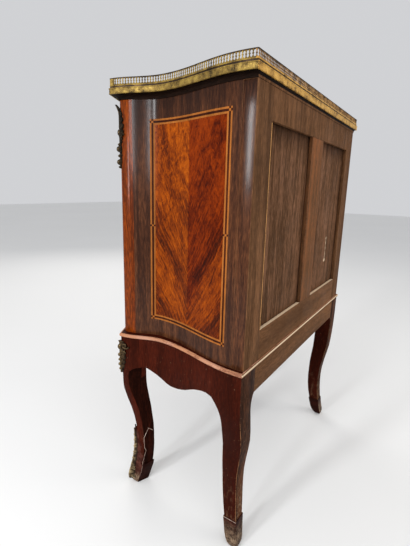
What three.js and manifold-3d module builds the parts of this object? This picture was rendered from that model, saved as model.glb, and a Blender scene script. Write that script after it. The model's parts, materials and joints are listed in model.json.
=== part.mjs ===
// A tall chest of three drawers on cabriole legs, with a brass gallery and bronze mounts.
// Millimetres. X runs to the right, Y to the back and Z up; the front faces -Y.

import * as THREE from 'three';
import Module from 'manifold-3d';
import { mergeVertices } from 'three/addons/utils/BufferGeometryUtils.js';

const wasm = await Module();
wasm.setup();

// Clearances
const seat = 0.3; // between pieces that touch along a cut face
const slideGap = 1.5; // beside and above a drawer
const grooveGap = 0.4; // round a panel in its groove

// Heights, from the floor up
const legHeight = 458;
const ledgeThick = 8;
const caseHeight = 552;
const coveHeight = 9;
const topThick = 12.5;
const galleryHeight = 20.5;
const caseBottom = legHeight + ledgeThick;
const caseTop = caseBottom + caseHeight;
const topBottom = caseTop + coveHeight;
const bandTop = topBottom + topThick;

// Plan of the case: each side bulges at the back, draws in at the waist and comes out again to a nose.
// A short canted face runs from the nose to the bowed front.
const caseWaist = 311.5;
const sideThick = 18; // side panels
const guideRoom = 8.5; // between a side panel at its waist and the way of the drawers
const casePlan = {
  bulge: 361, bulgeY: 155, waist: caseWaist, waistY: -80, nose: 343, noseY: -178,
  cant: caseWaist - sideThick - guideRoom, cantY: -202, bow: 18, back: 177, noseRound: 14, rearRound: 1.5,
};
const friezePlan = grownPlan(casePlan, {
  bulge: 8.5, bulgeShift: 10, waist: 15, waistShift: 15, nose: 13, noseFront: -2, cant: 12, front: 5,
  back: 0, noseRound: 4,
});
const ledgeLip = 3; // the ledge past the frieze
const topPlan = grownPlan(casePlan, {
  bulge: 18.5, bulgeShift: 0, waist: 24, waistShift: 18, nose: 20, noseFront: 9, cant: 18, front: 16,
  back: 7, noseRound: 5,
});

// Case timbers
const postRun = 26; // front post along the side, behind the nose
const rearPost = { wide: 68, deep: 30 };
const backFrame = { thick: 22, topRail: 60, bottomRail: 70, muntin: 88 };
const backPanel = { thick: 7, sunk: 9.5, tongue: 6 };
const endBoard = 18; // bottom and top boards of the case
const dustBoard = 16;
const guide = { wide: 7, tall: 12 }; // strips glued on the boards beside each drawer
const drawerCount = 3;
const frieze = { thick: 18 };

// Drawers
const drawerFront = 20; // at its thin ends
const drawerSide = 10;
const drawerBack = 10;
const drawerBottom = 5;
const drawerBottomLift = 9; // underside of the bottom above the lower edge
const drawerTongue = 4; // bottom into the grooves of the sides
const drawerBackRoom = 4; // between a drawer and the rear posts
const drawerStep = 14; // the sides are lower than the front by this

// Legs, with heights as shares of the leg: how far the outer arris lies in from the corner, across the
// piece and along it, as a share of the sweep, and the width of the square section as a share of the
// section at the top. The front knees and toes stand forward of the corner, and each foot is cut back a
// little for its sabot. The front legs are cut as for legs set on the diagonal: their two outer faces
// are narrower than the section, by the share in frontFace, and their inner faces run on slantwise.
const legSweep = 38;
const legSquare = 50;
const frontInsetX = legProfile(legSweep, [
  [0, 1], [0.022, 0.92], [0.066, 0.92], [0.11, 0.97], [0.175, 1], [0.24, 1.01], [0.33, 1],
  [0.415, 0.92], [0.5, 0.76], [0.59, 0.57], [0.655, 0.41], [0.72, 0.24], [0.765, 0.13], [0.8, 0.06],
  [0.88, 0],
]);
const rearInsetX = legProfile(legSweep, [
  [0, 0.79], [0.022, 0.72], [0.066, 0.79], [0.11, 0.87], [0.175, 0.93], [0.24, 0.99], [0.33, 0.99],
  [0.415, 0.91], [0.5, 0.75], [0.59, 0.54], [0.655, 0.38], [0.72, 0.22], [0.765, 0.12], [0.8, 0.06],
  [0.88, 0],
]);
const frontInsetY = legProfile(legSweep, [
  [0, 0], [0.022, -0.17], [0.055, -0.16], [0.11, 0], [0.175, 0.17], [0.24, 0.29], [0.33, 0.34],
  [0.415, 0.36], [0.5, 0.23], [0.545, 0.1], [0.59, -0.08], [0.62, -0.18], [0.655, -0.24], [0.69, -0.22],
  [0.72, -0.16], [0.765, -0.06], [0.88, 0],
]);
const rearInsetY = legProfile(legSweep, [
  [0, 0.21], [0.022, 0.16], [0.066, 0.25], [0.11, 0.32], [0.175, 0.39], [0.24, 0.46], [0.33, 0.5],
  [0.415, 0.45], [0.5, 0.29], [0.59, 0.09], [0.68, 0.03], [0.88, 0],
]);
const frontSection = legProfile(legSquare, [
  [0, 0.48], [0.022, 0.65], [0.066, 0.73], [0.11, 0.74], [0.175, 0.71], [0.24, 0.69], [0.33, 0.68],
  [0.415, 0.68], [0.5, 0.72], [0.545, 0.77], [0.59, 0.82], [0.655, 0.87], [0.765, 0.87], [0.88, 0.9],
]);
const frontFace = legProfile(1, [
  [0, 0.6], [0.022, 0.72], [0.066, 0.8], [0.11, 0.79], [0.175, 0.75], [0.33, 0.73], [0.415, 0.68],
  [0.545, 0.66], [0.62, 0.58], [0.655, 0.51], [0.72, 0.42], [0.8, 0.42],
]);
const rearSection = legProfile(legSquare, [
  [0, 0.28], [0.022, 0.46], [0.066, 0.56], [0.11, 0.59], [0.175, 0.65], [0.24, 0.69], [0.33, 0.72],
  [0.415, 0.76], [0.5, 0.85], [0.59, 0.92], [0.68, 0.96], [0.765, 0.98], [0.88, 1],
]);
const shankTop = 0.655 * legHeight; // the shank ends and the ears begin
const earTop = 0.88 * legHeight;

// Ears and aprons, with heights as drops below the top of the legs
const ear = {
  frontSide: { reach: 65, foot: 114, top: 77 },
  frontEnd: { reach: 62, foot: 120, top: 79 },
  rearSide: { reach: 78, foot: 158, top: 73 },
  rearEnd: { reach: 64, foot: 128, top: 63 },
};
const sideBelly = { y: -38, drop: 110 }; // lowest point of the side apron
const sideArch = { y: 83, drop: 71 }; // highest point of the side apron
const frontBelly = 108; // lowest point of the front apron, at its middle
const frontArch = { x: 190, drop: 68 };

// Brass and bronze
const bandThick = 3;
const gallery = {
  inset: 3.6, base: 5, rail: 2.6, thick: 3.4, baluster: 3, pitch: 13, endPost: 12,
};
const bronze = 1.8; // wall of a cast mount
const sabot = { collar: 62, leaf: 196, wide: 32, rearTop: 67, lift: 0.8, toe: 8, spine: 3.2 };
const kneeMount = { topDrop: 11, bottomDrop: 106, wide: 20, thick: 3.2, boss: 5.5 };
const cornerMount = { drop: 9, tall: 140, leaf: 80, leafWide: 15, tailWide: 8, knob: 6.5 };
const handle = {
  x: 158, span: 44, stand: 21, drop: 15, thick: 4.2, root: 3, rootLift: 6,
  bossWide: 12, bossStand: 6.5, bossTall: 23, bossLift: 5,
};
const keyPlate = { wide: 30, tall: 46, stand: 2.2, hole: 3, slot: 8, lift: 14 };

// Facets along the front, on each half, along each side, round a rod, on a ball and on a round corner
const frontSteps = 7;
const sideSteps = 15;
const rodSides = 6;
const ballRows = 6;
const roundSteps = 3;

// Finishes: colour, roughness, metalness
const finishes = {
  rosewood: [0x5a2f1c, 0.35, 0],
  inlay: [0x9c4a1c, 0.3, 0],
  stained: [0x3d251c, 0.45, 0],
  bareWood: [0x5b4230, 0.75, 0],
  oak: [0x9a7a55, 0.7, 0],
  brass: [0xb8924a, 0.4, 1],
  bronze: [0x6e5530, 0.5, 1],
};

// Plan outlines

function grownPlan(plan, more) {
  return {
    bulge: plan.bulge + more.bulge,
    bulgeY: plan.bulgeY + more.bulgeShift,
    waist: plan.waist + more.waist,
    waistY: plan.waistY + more.waistShift,
    nose: plan.nose + more.nose,
    noseY: plan.noseY - more.noseFront,
    cant: plan.cant + more.cant,
    cantY: plan.cantY - more.front,
    bow: plan.bow,
    back: plan.back + more.back,
    noseRound: more.noseRound,
    rearRound: plan.rearRound,
  };
}

// Half width of a plan at depth y: half a cosine wave on each side of the waist.
function sideX(plan, y) {
  const behind = y > plan.waistY;
  const run = behind ? plan.bulgeY - plan.waistY : plan.waistY - plan.noseY;
  const rise = (behind ? plan.bulge : plan.nose) - plan.waist;
  const share = Math.abs(y - plan.waistY) / run;
  return plan.waist + rise * (1 - Math.cos(Math.PI * share)) / 2;
}

// Depth of a plan's front at x: the canted corner, then the bow.
function frontY(plan, x) {
  const across = Math.abs(x);
  if (across > plan.cant) {
    const share = (across - plan.cant) / (plan.nose - plan.cant);
    return plan.cantY + share * (plan.noseY - plan.cantY);
  }
  return plan.cantY - plan.bow * (1 + Math.cos(Math.PI * across / plan.cant)) / 2;
}

// Right half of a plan, from the middle of the front to the rear corner, with the corners to round.
function halfPlan(plan) {
  const half = stations(0, plan.cant, frontSteps).map((x) => (
    { at: new THREE.Vector2(x, frontY(plan, x)), round: 0 }
  ));
  half.push({ at: new THREE.Vector2(plan.nose, plan.noseY), round: plan.noseRound });
  stations(plan.noseY, plan.back, sideSteps).slice(1).forEach((y) => {
    half.push({ at: new THREE.Vector2(sideX(plan, y), y), round: y === plan.back ? plan.rearRound : 0 });
  });
  return half;
}

// The whole closed outline, counter-clockwise from above, grown outwards by a distance.
function planLoop(plan, grow = 0) {
  const half = halfPlan(plan);
  const left = half.slice(1).reverse();
  const corners = half.concat(left.map((c) => ({ at: new THREE.Vector2(-c.at.x, c.at.y), round: c.round })));
  const grown = offset(corners.map((c) => c.at), grow);
  return grown.flatMap((p, i) => {
    const round = corners[i].round;
    if (!round) return [p];
    return rounded(grown.at(i - 1), p, grown[(i + 1) % grown.length], round);
  });
}

function offset(points, distance) {
  return points.map((p, i) => {
    const into = p.clone().sub(points.at(i - 1)).normalize();
    const out = points[(i + 1) % points.length].clone().sub(p).normalize();
    const normal = new THREE.Vector2(into.y + out.y, -into.x - out.x).normalize();
    const mitre = normal.x * into.y - normal.y * into.x;
    return p.clone().addScaledVector(normal, distance / mitre);
  });
}

function rounded(before, corner, after, radius) {
  const into = corner.clone().sub(before).normalize();
  const out = after.clone().sub(corner).normalize();
  const cut = radius * Math.tan(Math.acos(into.dot(out)) / 2);
  const arc = new THREE.QuadraticBezierCurve(
    corner.clone().addScaledVector(into, -cut),
    corner,
    corner.clone().addScaledVector(out, cut),
  );
  return arc.getPoints(roundSteps);
}

// Smooth value along a table of [position, value] pairs.
function profile(table) {
  const places = table.map((row) => row[0]);
  const curve = new THREE.CubicInterpolant(places, table.map((row) => row[1]), 1);
  return (t) => curve.evaluate(THREE.MathUtils.clamp(t, places[0], places.at(-1)))[0];
}

// The same for a leg: heights are shares of the leg and values are shares of a size.
function legProfile(size, table) {
  return profile(table.map(([height, share]) => [height * legHeight, share * size]));
}

// Solids

// A closed skin through rings of equal count, capped at both ends unless it runs back into itself.
function loft(rings, closed = false) {
  const size = rings[0].length;
  const index = [];
  for (let r = 0; r < (closed ? rings.length : rings.length - 1); r++) {
    const here = r * size;
    const there = ((r + 1) % rings.length) * size;
    for (let k = 0; k < size; k++) {
      const next = (k + 1) % size;
      index.push(here + k, here + next, there + next, here + k, there + next, there + k);
    }
  }
  if (!closed) {
    const cap = capTriangles(rings[0]);
    const top = (rings.length - 1) * size;
    cap.forEach(([a, b, c]) => index.push(a, c, b));
    capTriangles(rings.at(-1)).forEach(([a, b, c]) => index.push(top + a, top + b, top + c));
  }
  const geometry = new THREE.BufferGeometry().setFromPoints(rings.flat());
  geometry.setIndex(index);
  return facingOut(geometry);
}

// Triangles of a flat ring, wound as the ring is: the best shaped ear is cut off each time, and every
// point is kept, also one that lies in line with its neighbours.
function capTriangles(ring) {
  const normal = new THREE.Vector3();
  ring.forEach((p, i) => normal.add(p.clone().cross(ring[(i + 1) % ring.length])));
  const [ax, ay, az] = [Math.abs(normal.x), Math.abs(normal.y), Math.abs(normal.z)];
  const [u, v] = az >= ax && az >= ay ? ['x', 'y'] : ay >= ax ? ['x', 'z'] : ['y', 'z'];
  const flat = ring.map((p) => new THREE.Vector2(p[u], p[v]));
  const turn = Math.sign(THREE.ShapeUtils.area(flat));
  const cross = (a, b, c) => turn * (
    (flat[b].x - flat[a].x) * (flat[c].y - flat[a].y) - (flat[b].y - flat[a].y) * (flat[c].x - flat[a].x)
  );
  const quality = (a, b, c) => {
    const sides = [[a, b], [b, c], [c, a]].map(([p, q]) => flat[p].distanceToSquared(flat[q]));
    return cross(a, b, c) / Math.max(...sides);
  };
  const left = ring.map((_, i) => i);
  const triangles = [];
  const holds = (a, b, c) => left.some((p) => (
    p !== a && p !== b && p !== c && cross(a, b, p) >= 0 && cross(b, c, p) >= 0 && cross(c, a, p) >= 0
  ));
  while (left.length > 3) {
    let best = { value: 0 };
    left.forEach((b, i) => {
      const [a, c] = [left.at(i - 1), left[(i + 1) % left.length]];
      const value = quality(a, b, c);
      if (value > best.value && !holds(a, b, c)) best = { value, i, ear: [a, b, c] };
    });
    triangles.push(best.ear);
    left.splice(best.i, 1);
  }
  return [...triangles, left];
}

function facingOut(geometry) {
  const index = geometry.index.array;
  const at = (i) => new THREE.Vector3().fromBufferAttribute(geometry.attributes.position, index[i]);
  let volume = 0;
  for (let i = 0; i < index.length; i += 3) volume += at(i).dot(at(i + 1).cross(at(i + 2)));
  if (volume < 0) {
    for (let i = 0; i < index.length; i += 3) [index[i], index[i + 1]] = [index[i + 1], index[i]];
  }
  return geometry;
}

// A straight bar of any section; the section's two numbers run along the other two axes in order.
function bar(axis, section, from, to) {
  const place = {
    x: (t, a, b) => new THREE.Vector3(t, a, b),
    y: (t, a, b) => new THREE.Vector3(a, t, b),
    z: (t, a, b) => new THREE.Vector3(a, b, t),
  }[axis];
  return loft([from, to].map((t) => section.map(([a, b]) => place(t, a, b))));
}

function box(x0, x1, y0, y1, z0, z1) {
  return bar('z', [[x0, y0], [x1, y0], [x1, y1], [x0, y1]], z0, z1);
}

// A board whose edge follows a list of [outline, height] rings.
function stack(levels) {
  return loft(levels.map(([outline, z]) => outline.map((p) => new THREE.Vector3(p.x, p.y, z))));
}

function slab(outline, z0, z1) {
  return stack([[outline, z0], [outline, z1]]);
}

// A round rod along points, with a radius for each.
function rod(points, radii) {
  const [level, up] = [new THREE.Vector3(1, 0, 0), new THREE.Vector3(0, 0, 1)];
  const rings = points.map((p, i) => {
    const ahead = points[Math.min(i + 1, points.length - 1)];
    const tangent = ahead.clone().sub(points[Math.max(i - 1, 0)]).normalize();
    const steep = Math.abs(tangent.z) > 0.9;
    const side = new THREE.Vector3().crossVectors(tangent, steep ? level : up).normalize();
    const over = new THREE.Vector3().crossVectors(side, tangent);
    return Array.from({ length: rodSides }, (_, k) => {
      const angle = 2 * Math.PI * k / rodSides;
      return p.clone()
        .addScaledVector(side, radii[i] * Math.cos(angle))
        .addScaledVector(over, radii[i] * Math.sin(angle));
    });
  });
  return loft(rings);
}

// A ball stretched to three half sizes.
function dome(centre, half) {
  const ball = new THREE.SphereGeometry(1, ballRows + 2, ballRows);
  ball.scale(...half);
  ball.translate(...centre.toArray());
  ball.deleteAttribute('normal');
  ball.deleteAttribute('uv');
  return mergeVertices(ball);
}

function toSolid(geometry) {
  const vertProperties = new Float32Array(geometry.attributes.position.array);
  const triVerts = new Uint32Array(geometry.index.array);
  return new wasm.Manifold(new wasm.Mesh({ numProp: 3, vertProperties, triVerts }));
}

function toGeometry(solid) {
  const mesh = solid.getMesh();
  const geometry = new THREE.BufferGeometry();
  geometry.setAttribute('position', new THREE.BufferAttribute(new Float32Array(mesh.vertProperties), 3));
  geometry.setIndex(Array.from(mesh.triVerts));
  return geometry;
}

function join(...geometries) {
  return geometries.map(toSolid).reduce((sum, piece) => sum.add(piece));
}

function mirrored(geometry) {
  const copy = geometry.clone();
  const position = copy.attributes.position;
  for (let i = 0; i < position.count; i++) position.setX(i, -position.getX(i));
  const index = copy.index.array;
  for (let i = 0; i < index.length; i += 3) [index[i], index[i + 1]] = [index[i + 1], index[i]];
  return copy;
}

const model = new THREE.Group();

function add(name, geometry, finish) {
  const [color, roughness, metalness] = finishes[finish];
  const material = new THREE.MeshStandardMaterial({ color, roughness, metalness, flatShading: true });
  const mesh = new THREE.Mesh(geometry, material);
  mesh.name = name;
  model.add(mesh);
}

function addPair(name, geometry, finish) {
  add(`${name}_right`, geometry, finish);
  add(`${name}_left`, mirrored(geometry), finish);
}

// A board that follows the side of a plan, from one depth to another.
function sideBoard(plan, yFrom, yTo, thick, underside, upperside) {
  return loft(stations(yFrom, yTo, sideSteps).map((y) => {
    const x = sideX(plan, y);
    const z = underside(y);
    return [
      new THREE.Vector3(x, y, z),
      new THREE.Vector3(x, y, upperside),
      new THREE.Vector3(x - thick, y, upperside),
      new THREE.Vector3(x - thick, y, z),
    ];
  }));
}

function stations(from, to, steps) {
  return Array.from({ length: steps + 1 }, (_, i) => THREE.MathUtils.lerp(from, to, i / steps));
}

// Top

function addTop() {
  const caseLoop = planLoop(casePlan);
  const topLoop = planLoop(topPlan);
  const coveSteps = [[0.1, 0], [0.14, 0.4], [0.3, 0.75], [0.56, 0.9], [0.56, 1]];
  const cove = coveSteps.map(([reach, rise]) => [
    caseLoop.map((p, i) => p.clone().lerp(topLoop[i], reach)),
    caseTop + coveHeight * rise,
  ]);
  add('top_cove', stack(cove), 'stained');
  add('top_board', slab(planLoop(topPlan, -bandThick - seat), topBottom, bandTop), 'rosewood');

  // The band's section: how far each point stands out, and its share of the height.
  const bandSection = [
    [-bandThick, 0], [-0.3, 0], [-0.9, 0.2], [-0.9, 0.68], [0.6, 0.78], [0.6, 0.94], [-bandThick, 1],
  ];
  const rings = bandSection.map(([out, rise]) => (
    planLoop(topPlan, out).map((p) => new THREE.Vector3(p.x, p.y, topBottom + topThick * rise))
  ));
  add('top_band', loft(rings, true), 'brass');
  add('gallery', galleryFence(), 'brass');
}

// The fence follows the top's edge from one front corner round the back to the other.
function galleryFence() {
  const line = planLoop({ ...topPlan, noseRound: 0, rearRound: 0 }, -gallery.inset);
  const path = line.slice(frontSteps + 1, -frontSteps);
  const half = gallery.thick / 2;
  const wall = (thick, z0, z1) => {
    const inner = openOffset(path, -thick / 2);
    const outer = openOffset(path, thick / 2);
    return loft(path.map((_, i) => [
      new THREE.Vector3(outer[i].x, outer[i].y, z0),
      new THREE.Vector3(outer[i].x, outer[i].y, z1),
      new THREE.Vector3(inner[i].x, inner[i].y, z1),
      new THREE.Vector3(inner[i].x, inner[i].y, z0),
    ]));
  };
  const top = bandTop + galleryHeight;
  let fence = join(
    wall(gallery.thick, bandTop, bandTop + gallery.base),
    wall(gallery.thick * 0.8, top - gallery.rail, top),
  );

  const route = new THREE.CurvePath();
  for (let i = 1; i < path.length; i++) {
    const [a, b] = [path[i - 1], path[i]].map((p) => new THREE.Vector3(p.x, p.y, 0));
    route.add(new THREE.LineCurve3(a, b));
  }
  const length = route.getLength();
  const sink = 0.5;
  const firstPost = gallery.endPost / 2 + sink;
  const run = length - 2 * firstPost;
  const count = Math.round(run / gallery.pitch);
  const post = (distance, wide, thick) => {
    const share = distance / length;
    const [at, along] = [route.getPointAt(share), route.getTangentAt(share)];
    const out = new THREE.Vector3(along.y, -along.x, 0);
    const corners = [[-1, -1], [1, -1], [1, 1], [-1, 1]].map(([a, b]) => {
      const p = at.clone().addScaledVector(along, a * wide / 2).addScaledVector(out, b * thick / 2);
      return [p.x, p.y];
    });
    return bar('z', corners, bandTop + gallery.base - sink, top - gallery.rail + sink);
  };
  for (let i = 0; i <= count; i++) {
    const wide = i === 0 || i === count ? gallery.endPost : gallery.baluster;
    fence = fence.add(toSolid(post(firstPost + run * i / count, wide, half)));
  }
  return toGeometry(fence);
}

// Offset of an open line, to its right.
function openOffset(points, distance) {
  return points.map((p, i) => {
    const before = points[Math.max(i - 1, 0)];
    const after = points[Math.min(i + 1, points.length - 1)];
    const into = (i > 0 ? p.clone().sub(before) : after.clone().sub(p)).normalize();
    const out = (i < points.length - 1 ? after.clone().sub(p) : p.clone().sub(before)).normalize();
    const normal = new THREE.Vector2(into.y + out.y, -into.x - out.x).normalize();
    const mitre = normal.x * into.y - normal.y * into.x;
    return p.clone().addScaledVector(normal, distance / mitre);
  });
}

// Case

const postInner = casePlan.cant; // inner face of the front posts
const frontPostBack = casePlan.noseY + postRun;
const rearPostFront = casePlan.back - rearPost.deep;
const frameFront = casePlan.back - backFrame.thick; // front face of the back frame
const panelBack = casePlan.back - backPanel.sunk;
const panelFront = panelBack - backPanel.thick;
const rearPostInner = sideX(casePlan, casePlan.back) - rearPost.wide;
const grooveDeep = backPanel.tongue + grooveGap;
const grooveFront = panelFront - grooveGap;
const grooveBack = panelBack + grooveGap;
const topRailBottom = caseTop - backFrame.topRail;
const bottomRailTop = caseBottom + backFrame.bottomRail;

function addCase() {
  addFrontPosts();
  addRearPosts();
  const level = () => caseBottom;
  const sidePanel = sideBoard(
    casePlan, frontPostBack, rearPostFront, sideThick, level, caseTop,
  );
  addPair('side_panel', sidePanel, 'inlay');
  addBackFrame();
  addBoards();
}

function addFrontPosts() {
  const caseSolid = toSolid(slab(planLoop(casePlan), caseBottom, caseTop));
  const past = 50;
  const corner = box(
    postInner, casePlan.nose + past, casePlan.cantY - past, frontPostBack, caseBottom, caseTop,
  );
  addPair('front_post', toGeometry(caseSolid.intersect(toSolid(corner))), 'rosewood');
}

function addRearPosts() {
  const corner = sideX(casePlan, casePlan.back);
  const round = casePlan.rearRound;
  const outline = [
    [rearPostInner, rearPostFront],
    [sideX(casePlan, rearPostFront), rearPostFront],
    [sideX(casePlan, casePlan.bulgeY), casePlan.bulgeY],
    [corner, casePlan.back - round],
    [corner - round, casePlan.back],
    [rearPostInner, casePlan.back],
    [rearPostInner, grooveBack],
    [rearPostInner + grooveDeep, grooveBack],
    [rearPostInner + grooveDeep, grooveFront],
    [rearPostInner, grooveFront],
  ];
  addPair('rear_post', bar('z', outline, caseBottom, caseTop), 'bareWood');
}

function addBackFrame() {
  const back = casePlan.back;
  const railEnd = rearPostInner;
  const half = backFrame.muntin / 2;

  // A rail's section, with its groove in the edge that faces the panels.
  const rail = (edge, far, towards) => [
    [frameFront, far], [back, far], [back, edge], [grooveBack, edge],
    [grooveBack, edge - towards * grooveDeep], [grooveFront, edge - towards * grooveDeep],
    [grooveFront, edge], [frameFront, edge],
  ];
  add('back_top_rail', bar('x', rail(topRailBottom, caseTop, -1), -railEnd, railEnd), 'bareWood');
  add('back_bottom_rail', bar('x', rail(bottomRailTop, caseBottom, 1), -railEnd, railEnd), 'bareWood');

  const muntin = [
    [-half, frameFront], [half, frameFront], [half, grooveFront], [half - grooveDeep, grooveFront],
    [half - grooveDeep, grooveBack], [half, grooveBack], [half, back], [-half, back],
    [-half, grooveBack], [grooveDeep - half, grooveBack], [grooveDeep - half, grooveFront],
    [-half, grooveFront],
  ];
  add('back_muntin', bar('z', muntin, bottomRailTop, topRailBottom), 'bareWood');

  const tongue = backPanel.tongue;
  const panel = box(
    half - tongue, rearPostInner + tongue, panelFront, panelBack,
    bottomRailTop - tongue, topRailBottom + tongue,
  );
  addPair('back_panel', panel, 'bareWood');
}

// The horizontal boards fit between the side panels, with a tongue between the front posts.
function caseBoardOutline() {
  const half = stations(0, postInner, frontSteps).map((x) => new THREE.Vector2(x, frontY(casePlan, x)));
  const [first, last] = [frontPostBack, rearPostFront];
  half.push(new THREE.Vector2(postInner, first));
  stations(first, last, sideSteps).forEach((y) => {
    half.push(new THREE.Vector2(sideX(casePlan, y) - sideThick - seat, y));
  });
  half.push(new THREE.Vector2(rearPostInner, last));
  half.push(new THREE.Vector2(rearPostInner, frameFront));
  const left = half.slice(1).reverse().map((p) => new THREE.Vector2(-p.x, p.y));
  return half.concat(left);
}

// A board with the two strips that guide the drawer above it.
function guidedBoard(outline, bottom, thick) {
  const top = bottom + thick;
  const sink = 1;
  const outer = postInner + guide.wide;
  const strip = box(
    postInner, outer, frontPostBack + seat, rearPostFront - seat, top - sink, top + guide.tall,
  );
  return toGeometry(join(slab(outline, bottom, top), strip, mirrored(strip)));
}

const openingHeight = (caseHeight - 2 * endBoard - (drawerCount - 1) * dustBoard) / drawerCount;

function openingBottom(n) {
  return caseBottom + endBoard + n * (openingHeight + dustBoard);
}

function addBoards() {
  const outline = caseBoardOutline();
  add('bottom_board', guidedBoard(outline, caseBottom, endBoard), 'stained');
  add('dust_board_lower', guidedBoard(outline, openingBottom(1) - dustBoard, dustBoard), 'stained');
  add('dust_board_upper', guidedBoard(outline, openingBottom(2) - dustBoard, dustBoard), 'stained');
  add('carcass_top_board', slab(outline, caseTop - endBoard, caseTop), 'stained');
}

// Base

function addBase() {
  const ledgeRings = [[-1, 0], [0.6, 0.15], [1, 0.45], [0, 0.75], [-3.5, 1]].map(([out, rise]) => [
    planLoop(friezePlan, ledgeLip + out), legHeight + ledgeThick * rise,
  ]);
  add('base_moulding', stack(ledgeRings), 'stained');
  addAprons();
  addPair('leg_front', loft(legRings(corners.front, legLevels(corners.front))), 'rosewood');
  addPair('leg_rear', loft(legRings(corners.rear, legLevels(corners.rear))), 'rosewood');
}

const corners = {
  front: {
    x: friezePlan.nose, y: friezePlan.noseY, into: 1,
    insetX: frontInsetX, insetY: frontInsetY, section: frontSection, face: frontFace,
    side: ear.frontSide, end: ear.frontEnd,
  },
  rear: {
    x: sideX(friezePlan, friezePlan.back), y: friezePlan.back, into: -1,
    insetX: rearInsetX, insetY: rearInsetY, section: rearSection, face: () => 1,
    side: ear.rearSide, end: ear.rearEnd,
  },
};

// The widening of a leg into an ear that carries the apron on. The reach counts from the corner.
function earWidth(shape, inset, side, z) {
  const rise = THREE.MathUtils.clamp((z - legHeight + shape.foot) / (shape.foot - shape.top), 0, 1);
  const share = rise ** 4;
  return { share, width: THREE.MathUtils.lerp(side, shape.reach - inset, share) };
}

// A leg's section at a height: its width and its outer faces, both grown by a margin all round.
function legSection(corner, z, grow) {
  const plain = corner.section(z);
  const face = plain * corner.face(z);
  const slant = Math.atan2(plain - face, plain);
  return {
    wide: plain + grow + grow / (Math.cos(slant) - Math.sin(slant)),
    face: face + grow + grow * Math.tan(Math.PI / 4 - slant / 2),
  };
}

// One level of a leg: the outer arris, then along the side, round the inside and back along the end.
function legRing(corner, z, grow = 0) {
  const [insetX, insetY] = [corner.insetX(z) - grow, corner.insetY(z) - grow];
  const { wide, face } = legSection(corner, z, grow);
  const arris = new THREE.Vector3(corner.x - insetX, corner.y + corner.into * insetY, z);
  const canted = THREE.MathUtils.smoothstep(z, 0.44 * legHeight, earTop);
  const onSide = (run, depth) => {
    const y = arris.y + corner.into * run;
    const follow = sideX(friezePlan, y) - corner.x;
    return new THREE.Vector3(arris.x + follow * canted - depth, y, z);
  };
  const onEnd = (run, depth) => {
    const slant = corner === corners.front ? frontY(friezePlan, corner.x - run) - corner.y : 0;
    return new THREE.Vector3(arris.x - run, arris.y + slant * canted + corner.into * depth, z);
  };
  const side = earWidth(corner.side, insetY, face, z);
  const end = earWidth(corner.end, insetX, face, z);
  const depths = (share) => [1 / 3, 2 / 3].map((part) => (
    THREE.MathUtils.lerp(wide * part, frieze.thick + grow, share)
  ));
  const runs = ({ width, share }) => [
    THREE.MathUtils.lerp(THREE.MathUtils.lerp(face, wide, 1 / 3), width, share),
    THREE.MathUtils.lerp(THREE.MathUtils.lerp(face, wide, 2 / 3), wide, share),
  ];
  const [sideOuter, sideInner] = depths(side.share);
  const [sideOuterRun, sideInnerRun] = runs(side);
  const [endOuter, endInner] = depths(end.share);
  const [endOuterRun, endInnerRun] = runs(end);
  return [
    arris,
    onSide(side.width / 2, 0),
    onSide(side.width, 0),
    onSide(sideOuterRun, sideOuter),
    onSide(sideInnerRun, sideInner),
    new THREE.Vector3(arris.x - wide, arris.y + corner.into * wide, z),
    onEnd(endInnerRun, endInner),
    onEnd(endOuterRun, endOuter),
    onEnd(end.width, 0),
    onEnd(end.width / 2, 0),
  ];
}

function legRings(corner, levels, grow = 0) {
  return levels.map((z) => legRing(corner, z, grow));
}

// Close levels at the foot and the ears, wider ones along the shank.
function legLevels(corner) {
  const levels = [
    ...[0, 0.007, 0.018, 0.04, 0.066].map((share) => share * legHeight),
    ...stations(0.105 * legHeight, shankTop, 9), ...stations(shankTop, earTop, 10).slice(1),
    legHeight - corner.side.top, legHeight - corner.end.top, legHeight - corner.side.top - 5, legHeight,
  ];
  return Array.from(new Set(levels)).sort((a, b) => a - b);
}

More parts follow.
